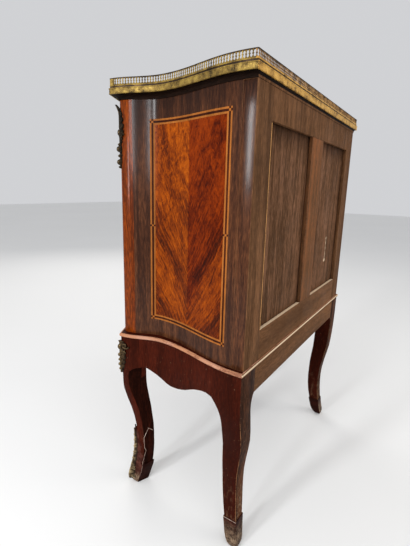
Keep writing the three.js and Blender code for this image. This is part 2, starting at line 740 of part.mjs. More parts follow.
function addAprons() {
  const sideFront = corners.front.y + ear.frontSide.reach;
  const sideBack = corners.rear.y - ear.rearSide.reach;
  const between = (a, b, share) => THREE.MathUtils.lerp(a, b, share);
  const sideEdge = profile([
    [sideFront, ear.frontSide.top],
    [between(sideFront, sideBelly.y, 0.45), between(ear.frontSide.top, sideBelly.drop, 0.53)],
    [between(sideFront, sideBelly.y, 0.8), between(ear.frontSide.top, sideBelly.drop, 0.9)],
    [sideBelly.y, sideBelly.drop],
    [between(sideBelly.y, sideArch.y, 0.35), between(sideBelly.drop, sideArch.drop, 0.2)],
    [between(sideBelly.y, sideArch.y, 0.7), between(sideBelly.drop, sideArch.drop, 0.73)],
    [sideArch.y, sideArch.drop],
    [sideBack, ear.rearSide.top],
  ]);
  const sideLow = (y) => legHeight - sideEdge(y);
  const sideApron = sideBoard(
    friezePlan, sideFront + seat, sideBack - seat, frieze.thick, sideLow, legHeight,
  );
  addPair('side_apron', sideApron, 'stained');

  const frontEnd = corners.front.x - ear.frontEnd.reach;
  const frontEdge = profile([
    [0, frontBelly],
    [frontArch.x * 0.3, between(frontBelly, frontArch.drop, 0.12)],
    [frontArch.x * 0.65, between(frontBelly, frontArch.drop, 0.75)],
    [frontArch.x, frontArch.drop],
    [frontEnd, ear.frontEnd.top],
  ]);
  const frontRings = stations(seat - frontEnd, frontEnd - seat, 28).map((x) => {
    const [y, low] = [frontY(friezePlan, x), legHeight - frontEdge(Math.abs(x))];
    return [
      new THREE.Vector3(x, y, low),
      new THREE.Vector3(x, y, legHeight),
      new THREE.Vector3(x, y + frieze.thick, legHeight),
      new THREE.Vector3(x, y + frieze.thick, low),
    ];
  });
  add('front_apron', loft(frontRings), 'rosewood');

  const backEnd = corners.rear.x - ear.rearEnd.reach - seat;
  const backLow = legHeight - ear.rearEnd.top;
  const backApron = box(
    -backEnd, backEnd, corners.rear.y - frieze.thick, corners.rear.y, backLow, legHeight,
  );
  add('back_apron', backApron, 'bareWood');
}

// Bronze mounts

// Half of a jagged leaf outline, from its foot to its tip, with a number of lobes on each side.
function leafOutline(bottom, top, wide, lobes) {
  const right = [[wide * 0.55, bottom]];
  for (let i = 0; i < lobes; i++) {
    const reach = wide * (1 - 0.75 * (i / lobes) ** 1.3);
    const step = (top - bottom) / (lobes + 0.6);
    const foot = bottom + step * i;
    right.push([reach, foot + step * 0.55], [reach * 0.62, foot + step]);
  }
  const left = right.slice().reverse().map(([a, z]) => [-a, z]);
  return [...right, [0, top], ...left];
}

// A flat outline pushed along a level direction, to cut a mount out of a skin.
function cutter(outline, origin, outward, from, to) {
  const across = new THREE.Vector3(-outward.y, outward.x, 0);
  const rings = [from, to].map((s) => outline.map(([a, z]) => (
    new THREE.Vector3(origin.x, origin.y, 0)
      .addScaledVector(outward, s)
      .addScaledVector(across, a)
      .setZ(z)
  )));
  return toSolid(loft(rings));
}

const kneeOut = new THREE.Vector3(1, -1, 0).normalize(); // the way the front arrises face

// The leg with the clearance that a mount keeps from it.
function legWood(corner) {
  return toSolid(loft(legRings(corner, legLevels(corner), seat)));
}

function legShell(corner, bottom, top, thick) {
  const inside = (z) => z > bottom && z < top;
  const levels = [bottom, ...legLevels(corner).filter(inside), top];
  return toSolid(loft(legRings(corner, levels, seat + thick))).subtract(legWood(corner));
}

function addSabots() {
  const { front, rear } = corners;
  const shell = legShell(front, sabot.lift, sabot.leaf, bronze);
  const middle = legRing(front, sabot.collar)[5].clone().lerp(legRing(front, sabot.collar)[0], 0.5);
  const leaf = leafOutline(sabot.lift, sabot.leaf, sabot.wide, 5);
  const far = 60;
  const leafCut = cutter(leaf, middle, kneeOut, 0, far);
  const collar = cutter(
    [[-far, sabot.lift], [far, sabot.lift], [far, sabot.collar], [-far, sabot.collar]],
    middle, kneeOut, -far, far,
  );
  const spineLevels = legLevels(front).filter((z) => z > sabot.toe && z < sabot.leaf);
  const spine = rod(
    spineLevels.map((z) => legRing(front, z, bronze)[0]),
    spineLevels.map((z) => sabot.spine * (1 - 0.5 * z / sabot.leaf)),
  );
  const cast = shell.intersect(leafCut.add(collar)).add(toSolid(spine)).subtract(legWood(front));
  addPair('sabot_front', toGeometry(cast), 'bronze');
  addPair('sabot_rear', toGeometry(legShell(rear, sabot.lift, sabot.rearTop, bronze)), 'bronze');
}

function addKneeMounts() {
  const corner = corners.front;
  const { wide, thick, boss } = kneeMount;
  const [bottom, top] = [legHeight - kneeMount.bottomDrop, legHeight - kneeMount.topDrop];
  const shell = legShell(corner, bottom, top, thick);
  const kneeCut = 40; // the cut starts here, counted from the inner corner of the leg
  const inner = legRing(corner, top)[5];
  const leaf = leafOutline(top, bottom, wide, 4);
  const leafCut = cutter(leaf, inner, kneeOut, kneeCut, kneeCut + corner.side.reach);
  const bosses = [0.84, 0.5, 0.2].map((share, i) => {
    const size = boss - 0.5 * i;
    const z = THREE.MathUtils.lerp(bottom, top, share);
    return toSolid(dome(legRing(corner, z, thick)[0], [size, size, 2.2 * size]));
  });
  const cast = bosses.reduce((sum, piece) => sum.add(piece), shell.intersect(leafCut));
  addPair('knee_mount', toGeometry(cast.subtract(legWood(corner))), 'bronze');
}

// A tall leaf over a thin tail with two knobs, bent round the nose of the front post.
function addCornerMounts() {
  const { drop, tall, leaf, leafWide, tailWide, knob } = cornerMount;
  const top = caseTop - drop;
  const bottom = top - tall;
  const nose = new THREE.Vector3(casePlan.nose, casePlan.noseY, 0);
  const cantFace = new THREE.Vector3(casePlan.noseY - casePlan.cantY, casePlan.cant - casePlan.nose, 0);
  const outward = cantFace.normalize().add(new THREE.Vector3(1, 0, 0)).normalize();
  const skin = toSolid(slab(planLoop(casePlan, seat + bronze), bottom, top));
  const wood = toSolid(slab(planLoop(casePlan, seat), bottom - leaf, caseTop));
  const behind = 20;
  const origin = nose.clone().addScaledVector(outward, -behind);
  const cut = (outline) => cutter(outline, origin, outward, 0, 2 * behind);
  const tailCut = cut(leafOutline(bottom, top, tailWide, 7));
  const outlines = tailCut.add(cut(leafOutline(top - leaf, top, leafWide, 4)));
  const sunk = casePlan.noseRound * 0.17;
  const spot = (z, out) => nose.clone().addScaledVector(outward, out - sunk).setZ(z);
  const knobs = [[2, knob], [7.5, knob + 1]].map(([up, size]) => (
    toSolid(dome(spot(bottom + up * knob, 1), [size, size, size * 1.5]))
  ));
  const curlHeights = [0.95, 0.6, 0.27, 0.07, 0.02].map((share) => top - leaf * share);
  const curl = rod(curlHeights.map((z, i) => spot(z, [2, 3, 4, 7, 11][i])), [3, 5, 5, 4, 2.5]);
  const cast = knobs.reduce((sum, piece) => sum.add(piece), skin.intersect(outlines));
  addPair('corner_mount', toGeometry(cast.add(toSolid(curl)).subtract(wood)), 'bronze');
}

// Drawers

const drawerHalf = postInner - slideGap; // half width of a drawer
const drawerFrontInner = casePlan.cantY + drawerFront;
const drawerRear = rearPostFront - drawerBackRoom; // rear face of a drawer

function drawerFrontOutline(grow = 0) {
  const outline = stations(-drawerHalf, drawerHalf, 2 * frontSteps).map((x) => (
    new THREE.Vector2(x, frontY(casePlan, x) - grow)
  ));
  outline.push(new THREE.Vector2(drawerHalf, drawerFrontInner));
  outline.push(new THREE.Vector2(-drawerHalf, drawerFrontInner));
  return outline;
}

function addDrawer(n) {
  const name = `drawer_${drawerCount - n}`;
  const low = openingBottom(n) + seat;
  const high = openingBottom(n) + openingHeight - slideGap;
  const sideTop = high - drawerStep;
  add(`${name}_front`, slab(drawerFrontOutline(), low, high), 'inlay');

  const inner = drawerHalf - drawerSide;
  const grooveLow = low + drawerBottomLift;
  const grooveHigh = grooveLow + drawerBottom + grooveGap;
  const grooveX = inner + drawerTongue + grooveGap;
  const sideSection = [
    [inner, low], [drawerHalf, low], [drawerHalf, sideTop], [inner, sideTop],
    [inner, grooveHigh], [grooveX, grooveHigh], [grooveX, grooveLow], [inner, grooveLow],
  ];
  addPair(`${name}_side`, bar('y', sideSection, drawerFrontInner, drawerRear), 'oak');

  const bottomTop = grooveLow + drawerBottom;
  const back = box(-inner, inner, drawerRear - drawerBack, drawerRear, bottomTop, sideTop);
  add(`${name}_back`, back, 'oak');
  const bottomHalf = inner + drawerTongue;
  const bottom = box(-bottomHalf, bottomHalf, drawerFrontInner, drawerRear, grooveLow, bottomTop);
  add(`${name}_bottom`, bottom, 'oak');

  const middle = (low + high) / 2;
  const cutFront = toSolid(slab(drawerFrontOutline(seat), low, high));
  const right = handleCast(middle).subtract(cutFront);
  addPair(`${name}_handle`, toGeometry(right), 'bronze');
  add(`${name}_escutcheon`, keyPlateCast(middle + keyPlate.lift, cutFront), 'bronze');
}

// A fixed pull: two leaf bosses on the drawer front and a swelling bail between them.
function handleCast(z) {
  const at = (dx, out, dz) => {
    const x = handle.x + dx;
    return new THREE.Vector3(x, frontY(casePlan, x) - out, z + dz);
  };
  const { span, stand, drop, thick, root, rootLift } = handle;
  const bail = new THREE.CatmullRomCurve3([
    at(-span, root, rootLift),
    at(-0.72 * span, 0.8 * stand, 0),
    at(0, stand, -drop),
    at(0.72 * span, 0.8 * stand, 0),
    at(span, root, rootLift),
  ]);
  const steps = 10;
  const swell = Array.from({ length: steps + 1 }, (_, i) => (
    thick * (0.75 + 0.35 * Math.sin(Math.PI * i / steps))
  ));
  const { bossWide, bossStand, bossTall, bossLift } = handle;
  const bosses = [-1, 1].map((hand) => dome(at(hand * span, 0, bossLift), [bossWide, bossStand, bossTall]));
  return join(rod(bail.getPoints(steps), swell), ...bosses);
}

function keyPlateCast(z, cutFront) {
  const { wide, tall, stand, hole, slot } = keyPlate;
  const surface = frontY(casePlan, 0);
  const [inside, outside] = [surface + 2 * stand, surface - 2 * stand];
  const outline = new THREE.Shape();
  outline.moveTo(0, -tall / 2);
  outline.bezierCurveTo(wide * 0.5, -tall * 0.4, wide * 0.3, -tall * 0.1, wide / 2, 0);
  outline.bezierCurveTo(wide * 0.55, tall * 0.3, wide * 0.2, tall * 0.3, 0, tall / 2);
  outline.bezierCurveTo(-wide * 0.2, tall * 0.3, -wide * 0.55, tall * 0.3, -wide / 2, 0);
  outline.bezierCurveTo(-wide * 0.3, -tall * 0.1, -wide * 0.5, -tall * 0.4, 0, -tall / 2);
  const edge = outline.getPoints(5).slice(1).map((p) => [p.x, p.y + z]);
  const plate = bar('y', edge, inside, surface - stand);
  const round = Array.from({ length: 8 }, (_, k) => [
    hole * Math.cos(Math.PI * k / 4), z + hole * (1 + Math.sin(Math.PI * k / 4)),
  ]);
  const keyhole = join(
    bar('y', round, inside, outside),
    box(-hole / 2, hole / 2, outside, inside, z - slot, z + hole),
  );
  return toGeometry(toSolid(plate).subtract(keyhole).subtract(cutFront));
}

addTop();
addCase();
addBase();
addSabots();
addKneeMounts();
addCornerMounts();
for (let n = 0; n < drawerCount; n++) addDrawer(n);

// The origin is on the floor under the middle of the whole piece.
const bounds = new THREE.Box3().setFromObject(model);
model.position.y = -(bounds.min.y + bounds.max.y) / 2;

export default model;
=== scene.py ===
"""Dresses a tall chest of three drawers: veneers, inlay, worn wood, brass gallery and bronze mounts.

Lengths in the code are millimetres in the chest's own frame: X to the right, Y to the back, Z up.
Sizes and colours that a user may change are properties of the scene.
"""

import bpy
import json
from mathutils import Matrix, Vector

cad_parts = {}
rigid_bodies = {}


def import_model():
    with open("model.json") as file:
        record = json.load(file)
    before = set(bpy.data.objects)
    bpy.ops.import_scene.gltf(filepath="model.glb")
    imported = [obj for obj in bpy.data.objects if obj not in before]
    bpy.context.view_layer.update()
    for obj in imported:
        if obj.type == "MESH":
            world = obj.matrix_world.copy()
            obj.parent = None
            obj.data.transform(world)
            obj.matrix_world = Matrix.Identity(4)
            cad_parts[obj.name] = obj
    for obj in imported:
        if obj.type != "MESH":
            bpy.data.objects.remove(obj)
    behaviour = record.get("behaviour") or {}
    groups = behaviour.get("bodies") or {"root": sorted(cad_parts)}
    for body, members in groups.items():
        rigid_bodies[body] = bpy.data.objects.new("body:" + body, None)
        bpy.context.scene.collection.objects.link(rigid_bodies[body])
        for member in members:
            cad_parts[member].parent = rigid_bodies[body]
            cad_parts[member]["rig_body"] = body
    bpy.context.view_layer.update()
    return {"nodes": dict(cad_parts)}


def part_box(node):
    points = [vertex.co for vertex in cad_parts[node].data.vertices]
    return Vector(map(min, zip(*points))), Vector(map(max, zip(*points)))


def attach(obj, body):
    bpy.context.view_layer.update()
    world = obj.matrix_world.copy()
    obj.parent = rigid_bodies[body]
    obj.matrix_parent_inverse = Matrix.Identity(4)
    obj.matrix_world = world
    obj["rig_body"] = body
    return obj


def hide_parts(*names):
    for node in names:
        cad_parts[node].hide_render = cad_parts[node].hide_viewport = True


bl_info = {
    "name": "Chest of Drawers",
    "version": (1, 0, 0),
    "blender": (4, 5, 0),
    "location": "3D View > Sidebar > Chest",
    "description": "Builds the fine surfaces and finishes of a serpentine chest of drawers",
    "category": "Add Mesh",
}

from collections import namedtuple
import json
import math

import bmesh
import bpy
from bpy.props import FloatProperty, FloatVectorProperty, PointerProperty
from mathutils import Matrix, Vector
from mathutils.bvhtree import BVHTree

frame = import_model()

METRE = 1000.0  # millimetres in a metre
X, Y, Z = Vector((1, 0, 0)), Vector((0, 1, 0)), Vector((0, 0, 1))


def paint(*colour):
    """A screen colour from 0 to 255 as the linear colour that shaders take."""
    return tuple(((c / 255 + 0.055) / 1.055) ** 2.4 if c > 10 else c / 255 / 12.92 for c in colour)


def node_low(name):
    """Lowest corner of a solid, in millimetres."""
    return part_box(name)[0] * METRE


def node_high(name):
    """Highest corner of a solid, in millimetres."""
    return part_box(name)[1] * METRE


# Plans

Plan = namedtuple("Plan", "bulge bulge_y waist waist_y nose nose_y cant cant_y bow back nose_round")

CASE = Plan(361, 181, 311.5, -54, 343, -152, 285, -176, 18, 203, 14)
FRIEZE = Plan(369.5, 191, 326.5, -39, 356, -150, 297, -181, 18, 203, 4)
TOP = Plan(379.5, 181, 335.5, -36, 363, -161, 303, -192, 18, 210, 5)
REAR_ROUND = 1.5
LEDGE_LIP = 3.0

LEG_TOP = node_high("leg_rear_right").z
CASE_LOW = node_low("side_panel_right").z
CASE_HIGH = node_high("side_panel_right").z
TOP_LOW = node_low("top_band").z
TOP_HIGH = node_high("top_band").z
GALLERY_HIGH = node_high("gallery").z


def side_x(shape, y):
    """Half width of a plan at a depth: half a cosine wave on each side of the waist."""
    behind = y > shape.waist_y
    run = shape.bulge_y - shape.waist_y if behind else shape.waist_y - shape.nose_y
    rise = (shape.bulge if behind else shape.nose) - shape.waist
    return shape.waist + rise * (1 - math.cos(math.pi * abs(y - shape.waist_y) / run)) / 2


def front_y(shape, x):
    """Depth of a plan's front: the canted corner, then the bow."""
    across = abs(x)
    if across > shape.cant:
        share = (across - shape.cant) / (shape.nose - shape.cant)
        return shape.cant_y + share * (shape.nose_y - shape.cant_y)
    return shape.cant_y - shape.bow * (1 + math.cos(math.pi * across / shape.cant)) / 2


def steps(start, end, count):
    """Evenly spaced numbers, both ends included."""
    return [start + (end - start) * i / count for i in range(count + 1)]


def turns(count):
    """Evenly spaced angles round a circle."""
    return steps(0, 2 * math.pi, count)[:-1]


def moved_out(into, here, out, distance):
    """A corner of a line moved outwards, so that the lines into and out of it stay parallel."""
    normal = Vector((into.y + out.y, -into.x - out.x)).normalized()
    return here + normal * distance / (normal.x * into.y - normal.y * into.x)


def offset_closed(points, distance):
    """A closed outline grown outwards with mitred corners."""
    ways = [(points[(i + 1) % len(points)] - here).normalized() for i, here in enumerate(points)]
    return [moved_out(ways[i - 1], here, ways[i], distance) for i, here in enumerate(points)]


def rounded_corner(before, corner, after, radius, count=6):
    """Points of a small arc in place of a corner."""
    into, out = (corner - before).normalized(), (after - corner).normalized()
    cut = radius * math.tan(into.angle(out) / 2)
    first, last = corner - into * cut, corner + out * cut
    return [first * (1 - t) ** 2 + corner * 2 * t * (1 - t) + last * t ** 2 for t in steps(0, 1, count)]


def outline(shape, grow=0.0, sides=40, front=16):
    """The whole closed outline of a plan, counter-clockwise from above."""
    half = [((x, front_y(shape, x)), 0) for x in steps(0, shape.cant, front)]
    half.append(((shape.nose, shape.nose_y), shape.nose_round))
    for y in steps(shape.nose_y, shape.back, sides)[1:]:
        half.append(((side_x(shape, y), y), REAR_ROUND if y == shape.back else 0))
    corners = half + [((-x, y), radius) for (x, y), radius in reversed(half[1:])]
    grown = offset_closed([Vector(place) for place, radius in corners], grow)
    points = []
    for i, (place, radius) in enumerate(corners):
        after = grown[(i + 1) % len(grown)]
        points += rounded_corner(grown[i - 1], grown[i], after, radius) if radius else [grown[i]]
    return points


def ring_at(z, shape, grow=0.0):
    """A plan's outline as places at one height."""
    return [(*p, z) for p in outline(shape, grow)]


# Meshes

WELD = 0.00002  # metres within which two corners are one
FLAT = 0.6  # degrees under which two faces are one
ORDER = Vector((1.0, 17.3, 311.7))  # weights that sort a cut solid the same way in each run


def make_piece(name, points, faces, finishes, body, slot, nodes=(), marks=None, crease=32):
    """A mesh object in millimetres that rides on a body and stands for solids."""
    mesh = bpy.data.meshes.new(name)
    mesh.from_pydata([Vector(p) / METRE for p in points], [], faces)
    for finish in finishes:
        mesh.materials.append(finish)
    if marks:
        mesh.polygons.foreach_set("material_index", marks)
    return settle(name, mesh, body, nodes, crease)


def settle(name, mesh, body, nodes, crease):
    """Puts a finished mesh in the scene with smooth faces and sharp corners."""
    mesh.validate()
    shape = bmesh.new()
    shape.from_mesh(mesh)
    bmesh.ops.recalc_face_normals(shape, faces=shape.faces)
    shape.to_mesh(mesh)
    shape.free()
    mesh.shade_smooth()
    mesh.set_sharp_from_angle(angle=math.radians(crease))
    piece = bpy.data.objects.new(name, mesh)
    bpy.context.scene.collection.objects.link(piece)
    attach(piece, body)
    if nodes:
        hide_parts(*nodes)
    return piece


def dress_node(node, finishes, edge, angle=28, choose=None, crisp=None, cuts=(), crease=32):
    """A copy of a solid with softened edges; the last finish goes on these edges.

    Places that the choosing functions get are in millimetres. Crisp edges stay sharp, and cuts are
    axis and place pairs where the faces are split so that a finish can end there.
    """
    solid = frame["nodes"][node]
    shape = bmesh.new()
    shape.from_mesh(solid.data)
    bmesh.ops.remove_doubles(shape, verts=shape.verts, dist=WELD)
    bmesh.ops.dissolve_limit(
        shape, angle_limit=math.radians(FLAT), verts=shape.verts, edges=shape.edges, delimit={"NORMAL"},
    )
    corners = [
        e for e in shape.edges
        if len(e.link_faces) == 2 and e.calc_face_angle(0) > math.radians(angle)
        and not (crisp and crisp((e.verts[0].co + e.verts[1].co) * METRE / 2))
    ]
    bmesh.ops.bevel(
        shape, geom=corners, offset=edge / METRE, segments=2, profile=0.55, affect="EDGES",
        clamp_overlap=True, material=len(finishes),
    )
    for axis, place in cuts:
        bmesh.ops.bisect_plane(
            shape, geom=shape.verts[:] + shape.edges[:] + shape.faces[:], dist=0.00001,
            plane_co=axis * place / METRE, plane_no=axis,
        )
    if cuts:
        shape.verts.sort(key=lambda vertex: vertex.co.dot(ORDER))
        shape.faces.sort(key=lambda face: face.calc_center_median().dot(ORDER))
    for face in shape.faces:
        if face.material_index == len(finishes):
            face.material_index = len(finishes) - 1
        else:
            middle = face.calc_center_median() * METRE
            face.material_index = choose(face.normal, middle) if choose else 0
    bmesh.ops.recalc_face_normals(shape, faces=shape.faces)
    mesh = bpy.data.meshes.new(f"dressed_{node}")
    shape.to_mesh(mesh)
    shape.free()
    for finish in finishes:
        mesh.materials.append(finish)
    settle(f"dressed_{node}", mesh, solid["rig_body"], (node,), crease)


def gather(points, faces, more_points, more_faces):
    """Adds a mesh to the points and faces of another."""
    start = len(points)
    points += more_points
    faces += [tuple(start + i for i in face) for face in more_faces]


def rings_to_mesh(rings, closed=False):
    """Points and faces of a skin through rings of equal count, capped unless it closes on itself."""
    size = len(rings[0])
    points = [p for ring in rings for p in ring]
    faces = []
    for r in range(len(rings) if closed else len(rings) - 1):
        here, there = r * size, (r + 1) % len(rings) * size
        for k in range(size):
            after = (k + 1) % size
            faces.append((here + k, here + after, there + after, there + k))
    if not closed:
        faces.append(tuple(reversed(range(size))))
        faces.append(tuple(range(len(points) - size, len(points))))
    return points, faces


def middle_of(points, face):
    """The middle of a face's corners."""
    return sum((Vector(points[i]) for i in face), Vector()) / len(face)


def inlaid_board(across, heights, outer, inner, mark, backing):
    """A board whose outer face is a grid of veneers: points, faces and a finish number per face."""
    points = [outer(a, z) for a in across for z in heights]
    rows = len(heights)
    faces, marks = [], []
    for i in range(len(across) - 1):
        for j in range(rows - 1):
            corner = i * rows + j
            faces.append((corner, corner + rows, corner + rows + 1, corner + 1))
            marks.append(mark((across[i] + across[i + 1]) / 2, (heights[j] + heights[j + 1]) / 2))
    behind = len(points)
    for a in across:
        points += [inner(a, heights[0]), inner(a, heights[-1])]
    for i in range(len(across) - 1):
        a, b = behind + 2 * i, behind + 2 * i + 2
        faces.append((a, a + 1, b + 1, b))
        faces.append((i * rows, a, b, (i + 1) * rows))
        faces.append((i * rows + rows - 1, (i + 1) * rows + rows - 1, b + 1, a + 1))
    last = len(points) - 2
    faces.append((*range(rows), behind + 1, behind))
    faces.append((*reversed(range(behind - rows, behind)), last, last + 1))
    return points, faces, marks + [backing] * (len(faces) - len(marks))


def mirror_mesh(points, faces):
    """The same mesh on the left of the chest."""
    return [Vector((-p[0], p[1], p[2])) for p in points], [tuple(reversed(f)) for f in faces]


def merged_lines(lines, start, end, widest):
    """Sorted cut lines with both ends, and extra ones so that no gap is wider than the widest."""
    marks = sorted({start, end, *(line for line in lines if start < line < end)})
    full = [marks[0]]
    for here in marks[1:]:
        full += steps(full[-1], here, max(1, math.ceil((here - full[-1]) / widest)))[1:]
    return full


# Cast work

RAY_START, RAY_LENGTH = 40, 90  # rays start this far outside a middle line and look inwards this far
FALL = 0.8  # how steeply a casting falls away beside its solid


def search_tree(*nodes):
    """A search tree over solids, in millimetres, so that cast pieces can lie on them."""
    points, faces = [], []
    for node in nodes:
        mesh = frame["nodes"][node].data
        gather(points, faces, [v.co * METRE for v in mesh.vertices], [p.vertices for p in mesh.polygons])
    return BVHTree.FromPolygons(points, faces)


def arris_line(node, outward):
    """The outermost line of a leg, as places from the floor up."""
    rings = {}
    for vertex in frame["nodes"][node].data.vertices:
        rings.setdefault(round(vertex.co.z * METRE, 1), []).append(vertex.co * METRE)
    return [
        max(ring, key=lambda p: p.x * outward[0] + p.y * outward[1])
        for level, ring in sorted(rings.items()) if len(ring) >= 6
    ]


class Ground:
    """The surface that a mount lies on, with its own middle line, way across and way out; a casting
    with less wrap bends less closely round the arris."""

    def __init__(self, tree, line, outward, wrap=1.0):
        self.wrap, self.tree, self.line = wrap, tree, line
        self.outward = Vector((*outward, 0)).normalized()
        self.across = Vector((-self.outward.y, self.outward.x, 0))

    def root(self, z):
        """The middle line's place at a height."""
        first, last = self.line[0], self.line[-1]
        if len(self.line) == 1 or z <= first[2]:
            return Vector((*first[:2], z))
        for below, above in zip(self.line, self.line[1:]):
            if z <= above[2]:
                share = (z - below[2]) / (above[2] - below[2])
                return Vector((*(Vector(below).lerp(Vector(above), share))[:2], z))
        return Vector((*last[:2], z))

    def depth(self, a, z):
        """How far out the casting's back lies at a place."""
        if self.wrap == 1:
            return self.surface(a, z)
        middle = self.surface(0, z)
        return middle + (self.surface(a, z) - middle) * self.wrap

    def surface(self, a, z):
        """How far out the surface lies; beside the solid it falls away from the nearest place on it."""
        root = self.root(z)
        for share in (1, 0.9, 0.8, 0.7, 0.55, 0.4, 0.25, 0.1, 0):
            start = root + self.across * (a * share) + self.outward * RAY_START
            hit = self.tree.ray_cast(start, -self.outward, RAY_LENGTH)[0]
            if hit is not None:
                return (hit - root).dot(self.outward) - abs(a) * (1 - share) * FALL
        raise ValueError(f"nothing lies behind a mount at height {z:.1f} mm")

    def spot(self, a, z, out=0.0):
        """A place at a height above the surface."""
        return self.root(z) + self.across * a + self.outward * (self.depth(a, z) + out)


class Casting:
    """Points, faces and rubbed amounts of one mount, gathered from its ornaments."""

    def __init__(self, *ground):
        self.ground = Ground(*ground)
        self.points, self.faces, self.rubs = [], [], []

    def add(self, points, faces, rubs):
        gather(self.points, self.faces, points, faces)
        self.rubs += rubs

    def leaf(self, foot, tip, wide, lobes, thick, middle=0.0, sweep=0.35, curl=0.0, rows=60, columns=16):
        """A lobed leaf with a midrib and hollows between its lobes; its tip may curl outwards."""
        front, back, rubs = [], [], []
        for t in steps(0, 1, rows):
            lobe = math.sin(math.pi * (t * lobes % 1.0)) ** 0.6 if t < 1 else 0
            width = wide * min(1, 0.45 + 4 * t) * (1 - t ** 2.2) ** 0.8 * (0.62 + 0.38 * lobe) + 0.2
            for s in steps(-1, 1, columns):
                z = foot + (tip - foot) * t + math.copysign(sweep * width * abs(s) ** 1.5, tip - foot)
                a = middle + s * width
                groove = 1 - 0.5 * (1 - lobe) * min(1, 2.5 * abs(s))
                rib = math.exp(-(s / 0.13) ** 2)
                vein = 0.5 + 0.5 * math.cos(2 * math.pi * (3 * lobes * t)) * min(1, 2 * abs(s))
                rise = (0.25 + 0.5 * (1 - s * s) ** 0.5 * groove + 0.2 * rib + 0.12 * vein * groove)
                rise += 0.18 * max(0, abs(s) - 0.82) / 0.18
                lift = self.ground.depth(a, z) + 0.1 + curl * max(0, (t - 0.66) / 0.34) ** 2
                place = self.ground.root(z) + self.ground.across * a
                rubs.append(min(1, max(0, (rise - 0.45) * 1.6)))
                front.append(place + self.ground.outward * (lift + thick * rise))
                back.append(place + self.ground.outward * (lift - 0.4))
        across = columns + 1
        faces = []
        behind = len(front)
        for i in range(rows):
            for j in range(columns):
                a, b = i * across + j, (i + 1) * across + j
                faces.append((a, a + 1, b + 1, b))
                faces.append((behind + a, behind + b, behind + b + 1, behind + a + 1))
        edge = [*range(across), *(i * across + columns for i in range(1, rows + 1))]
        edge += [rows * across + j for j in reversed(range(columns))]
        edge += [i * across for i in reversed(range(1, rows))]
        for here, there in zip(edge, edge[1:] + edge[:1]):
            faces.append((here, behind + here, behind + there, there))
        self.add(front + back, faces, rubs + [0.0] * behind)

    def rod(self, spots, sizes, rub=0.8, sides=8):
        """A round rod through places on the surface: (across, height, out) each."""
        centres = [self.ground.spot(*spot) for spot in spots]
        rings, rubs = [], []
        for i, centre in enumerate(centres):
            along = (centres[min(i + 1, len(centres) - 1)] - centres[max(i - 1, 0)]).normalized()
            out = (self.ground.outward - along * self.ground.outward.dot(along)).normalized()
            side = along.cross(out)
            rings.append([centre + (side * math.cos(t) + out * math.sin(t)) * sizes[i] for t in turns(sides)])
            rubs += [rub * max(0, math.sin(t)) for t in turns(sides)]
        self.add(*rings_to_mesh(rings), rubs)

    def scroll(self, a, z, radius, start, hand, thick, out=0.6):
        """A spiral scroll with a bead in its eye."""
        spots, sizes = [], []
        for share in steps(0, 1, 26):
            angle = start + hand * share * 1.3 * 2 * math.pi
            reach = radius * (1 - 0.8 * share)
            spots.append((a + reach * math.cos(angle), z + reach * math.sin(angle), out + 1.2 * share))
            sizes.append(thick * (0.55 + 0.45 * math.sin(math.pi * min(1, share * 1.2 + 0.15))))
        self.rod(spots, sizes)
        self.boss(a, z, radius * 0.27, radius * 0.27, radius * 0.3)

    def boss(self, a, z, wide, tall, stand, petals=0):
        """A domed oval, plain or fluted like a flower."""
        centre = self.ground.spot(a, z, -0.3)
        rings, rubs = [], []
        for level in steps(0, math.pi / 2, 6)[:-1]:
            rise, reach = math.sin(level), math.cos(level)
            ring = []
            for angle in turns(20):
                fluted = reach * (1 - 0.16 * (0.5 - 0.5 * math.cos(petals * angle)) * reach)
                side = self.ground.across * (wide * fluted * math.cos(angle))
                side.z = tall * fluted * math.sin(angle)
                ring.append(centre + side + self.ground.outward * (stand * rise + 0.3))
                rubs.append(0.25 + 0.75 * rise)
            rings.append(ring)
        self.add(*rings_to_mesh(rings), rubs)

    def pair(self, name, finish, body="carcass", node=None):
        """The finished mount as two objects, the left one mirrored."""
        meshes = {"right": (self.points, self.faces), "left": mirror_mesh(self.points, self.faces)}
        for hand, mesh in meshes.items():
            self.piece(f"{name}_{hand}", finish, body, (f"{node}_{hand}",) if node else (), mesh)

    def piece(self, name, finish, body, nodes=(), mesh=None):
        """The finished mount as one object."""
        mesh = mesh or (self.points, self.faces)
        made = make_piece(name, *mesh, [finish], body, "bronze", nodes, crease=60)
        layer = made.data.attributes.new("rub", "FLOAT", "POINT")
        layer.data.foreach_set("value", self.rubs)


# Finishes

COAT_ROUGH = 0.17


class Field:
    """A value that varies over a finish; sums and products of fields are nodes of its shader."""

    def __init__(self, finish, socket):
        self.finish, self.socket = finish, socket

    def __add__(self, other):
        return self.finish.work("ADD", self, other)

    def __radd__(self, other):
        return self.finish.work("ADD", other, self)

    def __sub__(self, other):
        return self.finish.work("SUBTRACT", self, other)

    def __rsub__(self, other):
        return self.finish.work("SUBTRACT", other, self)

    def __mul__(self, other):
        return self.finish.work("MULTIPLY", self, other)

    def __abs__(self):
        return self.finish.work("ABSOLUTE", self)


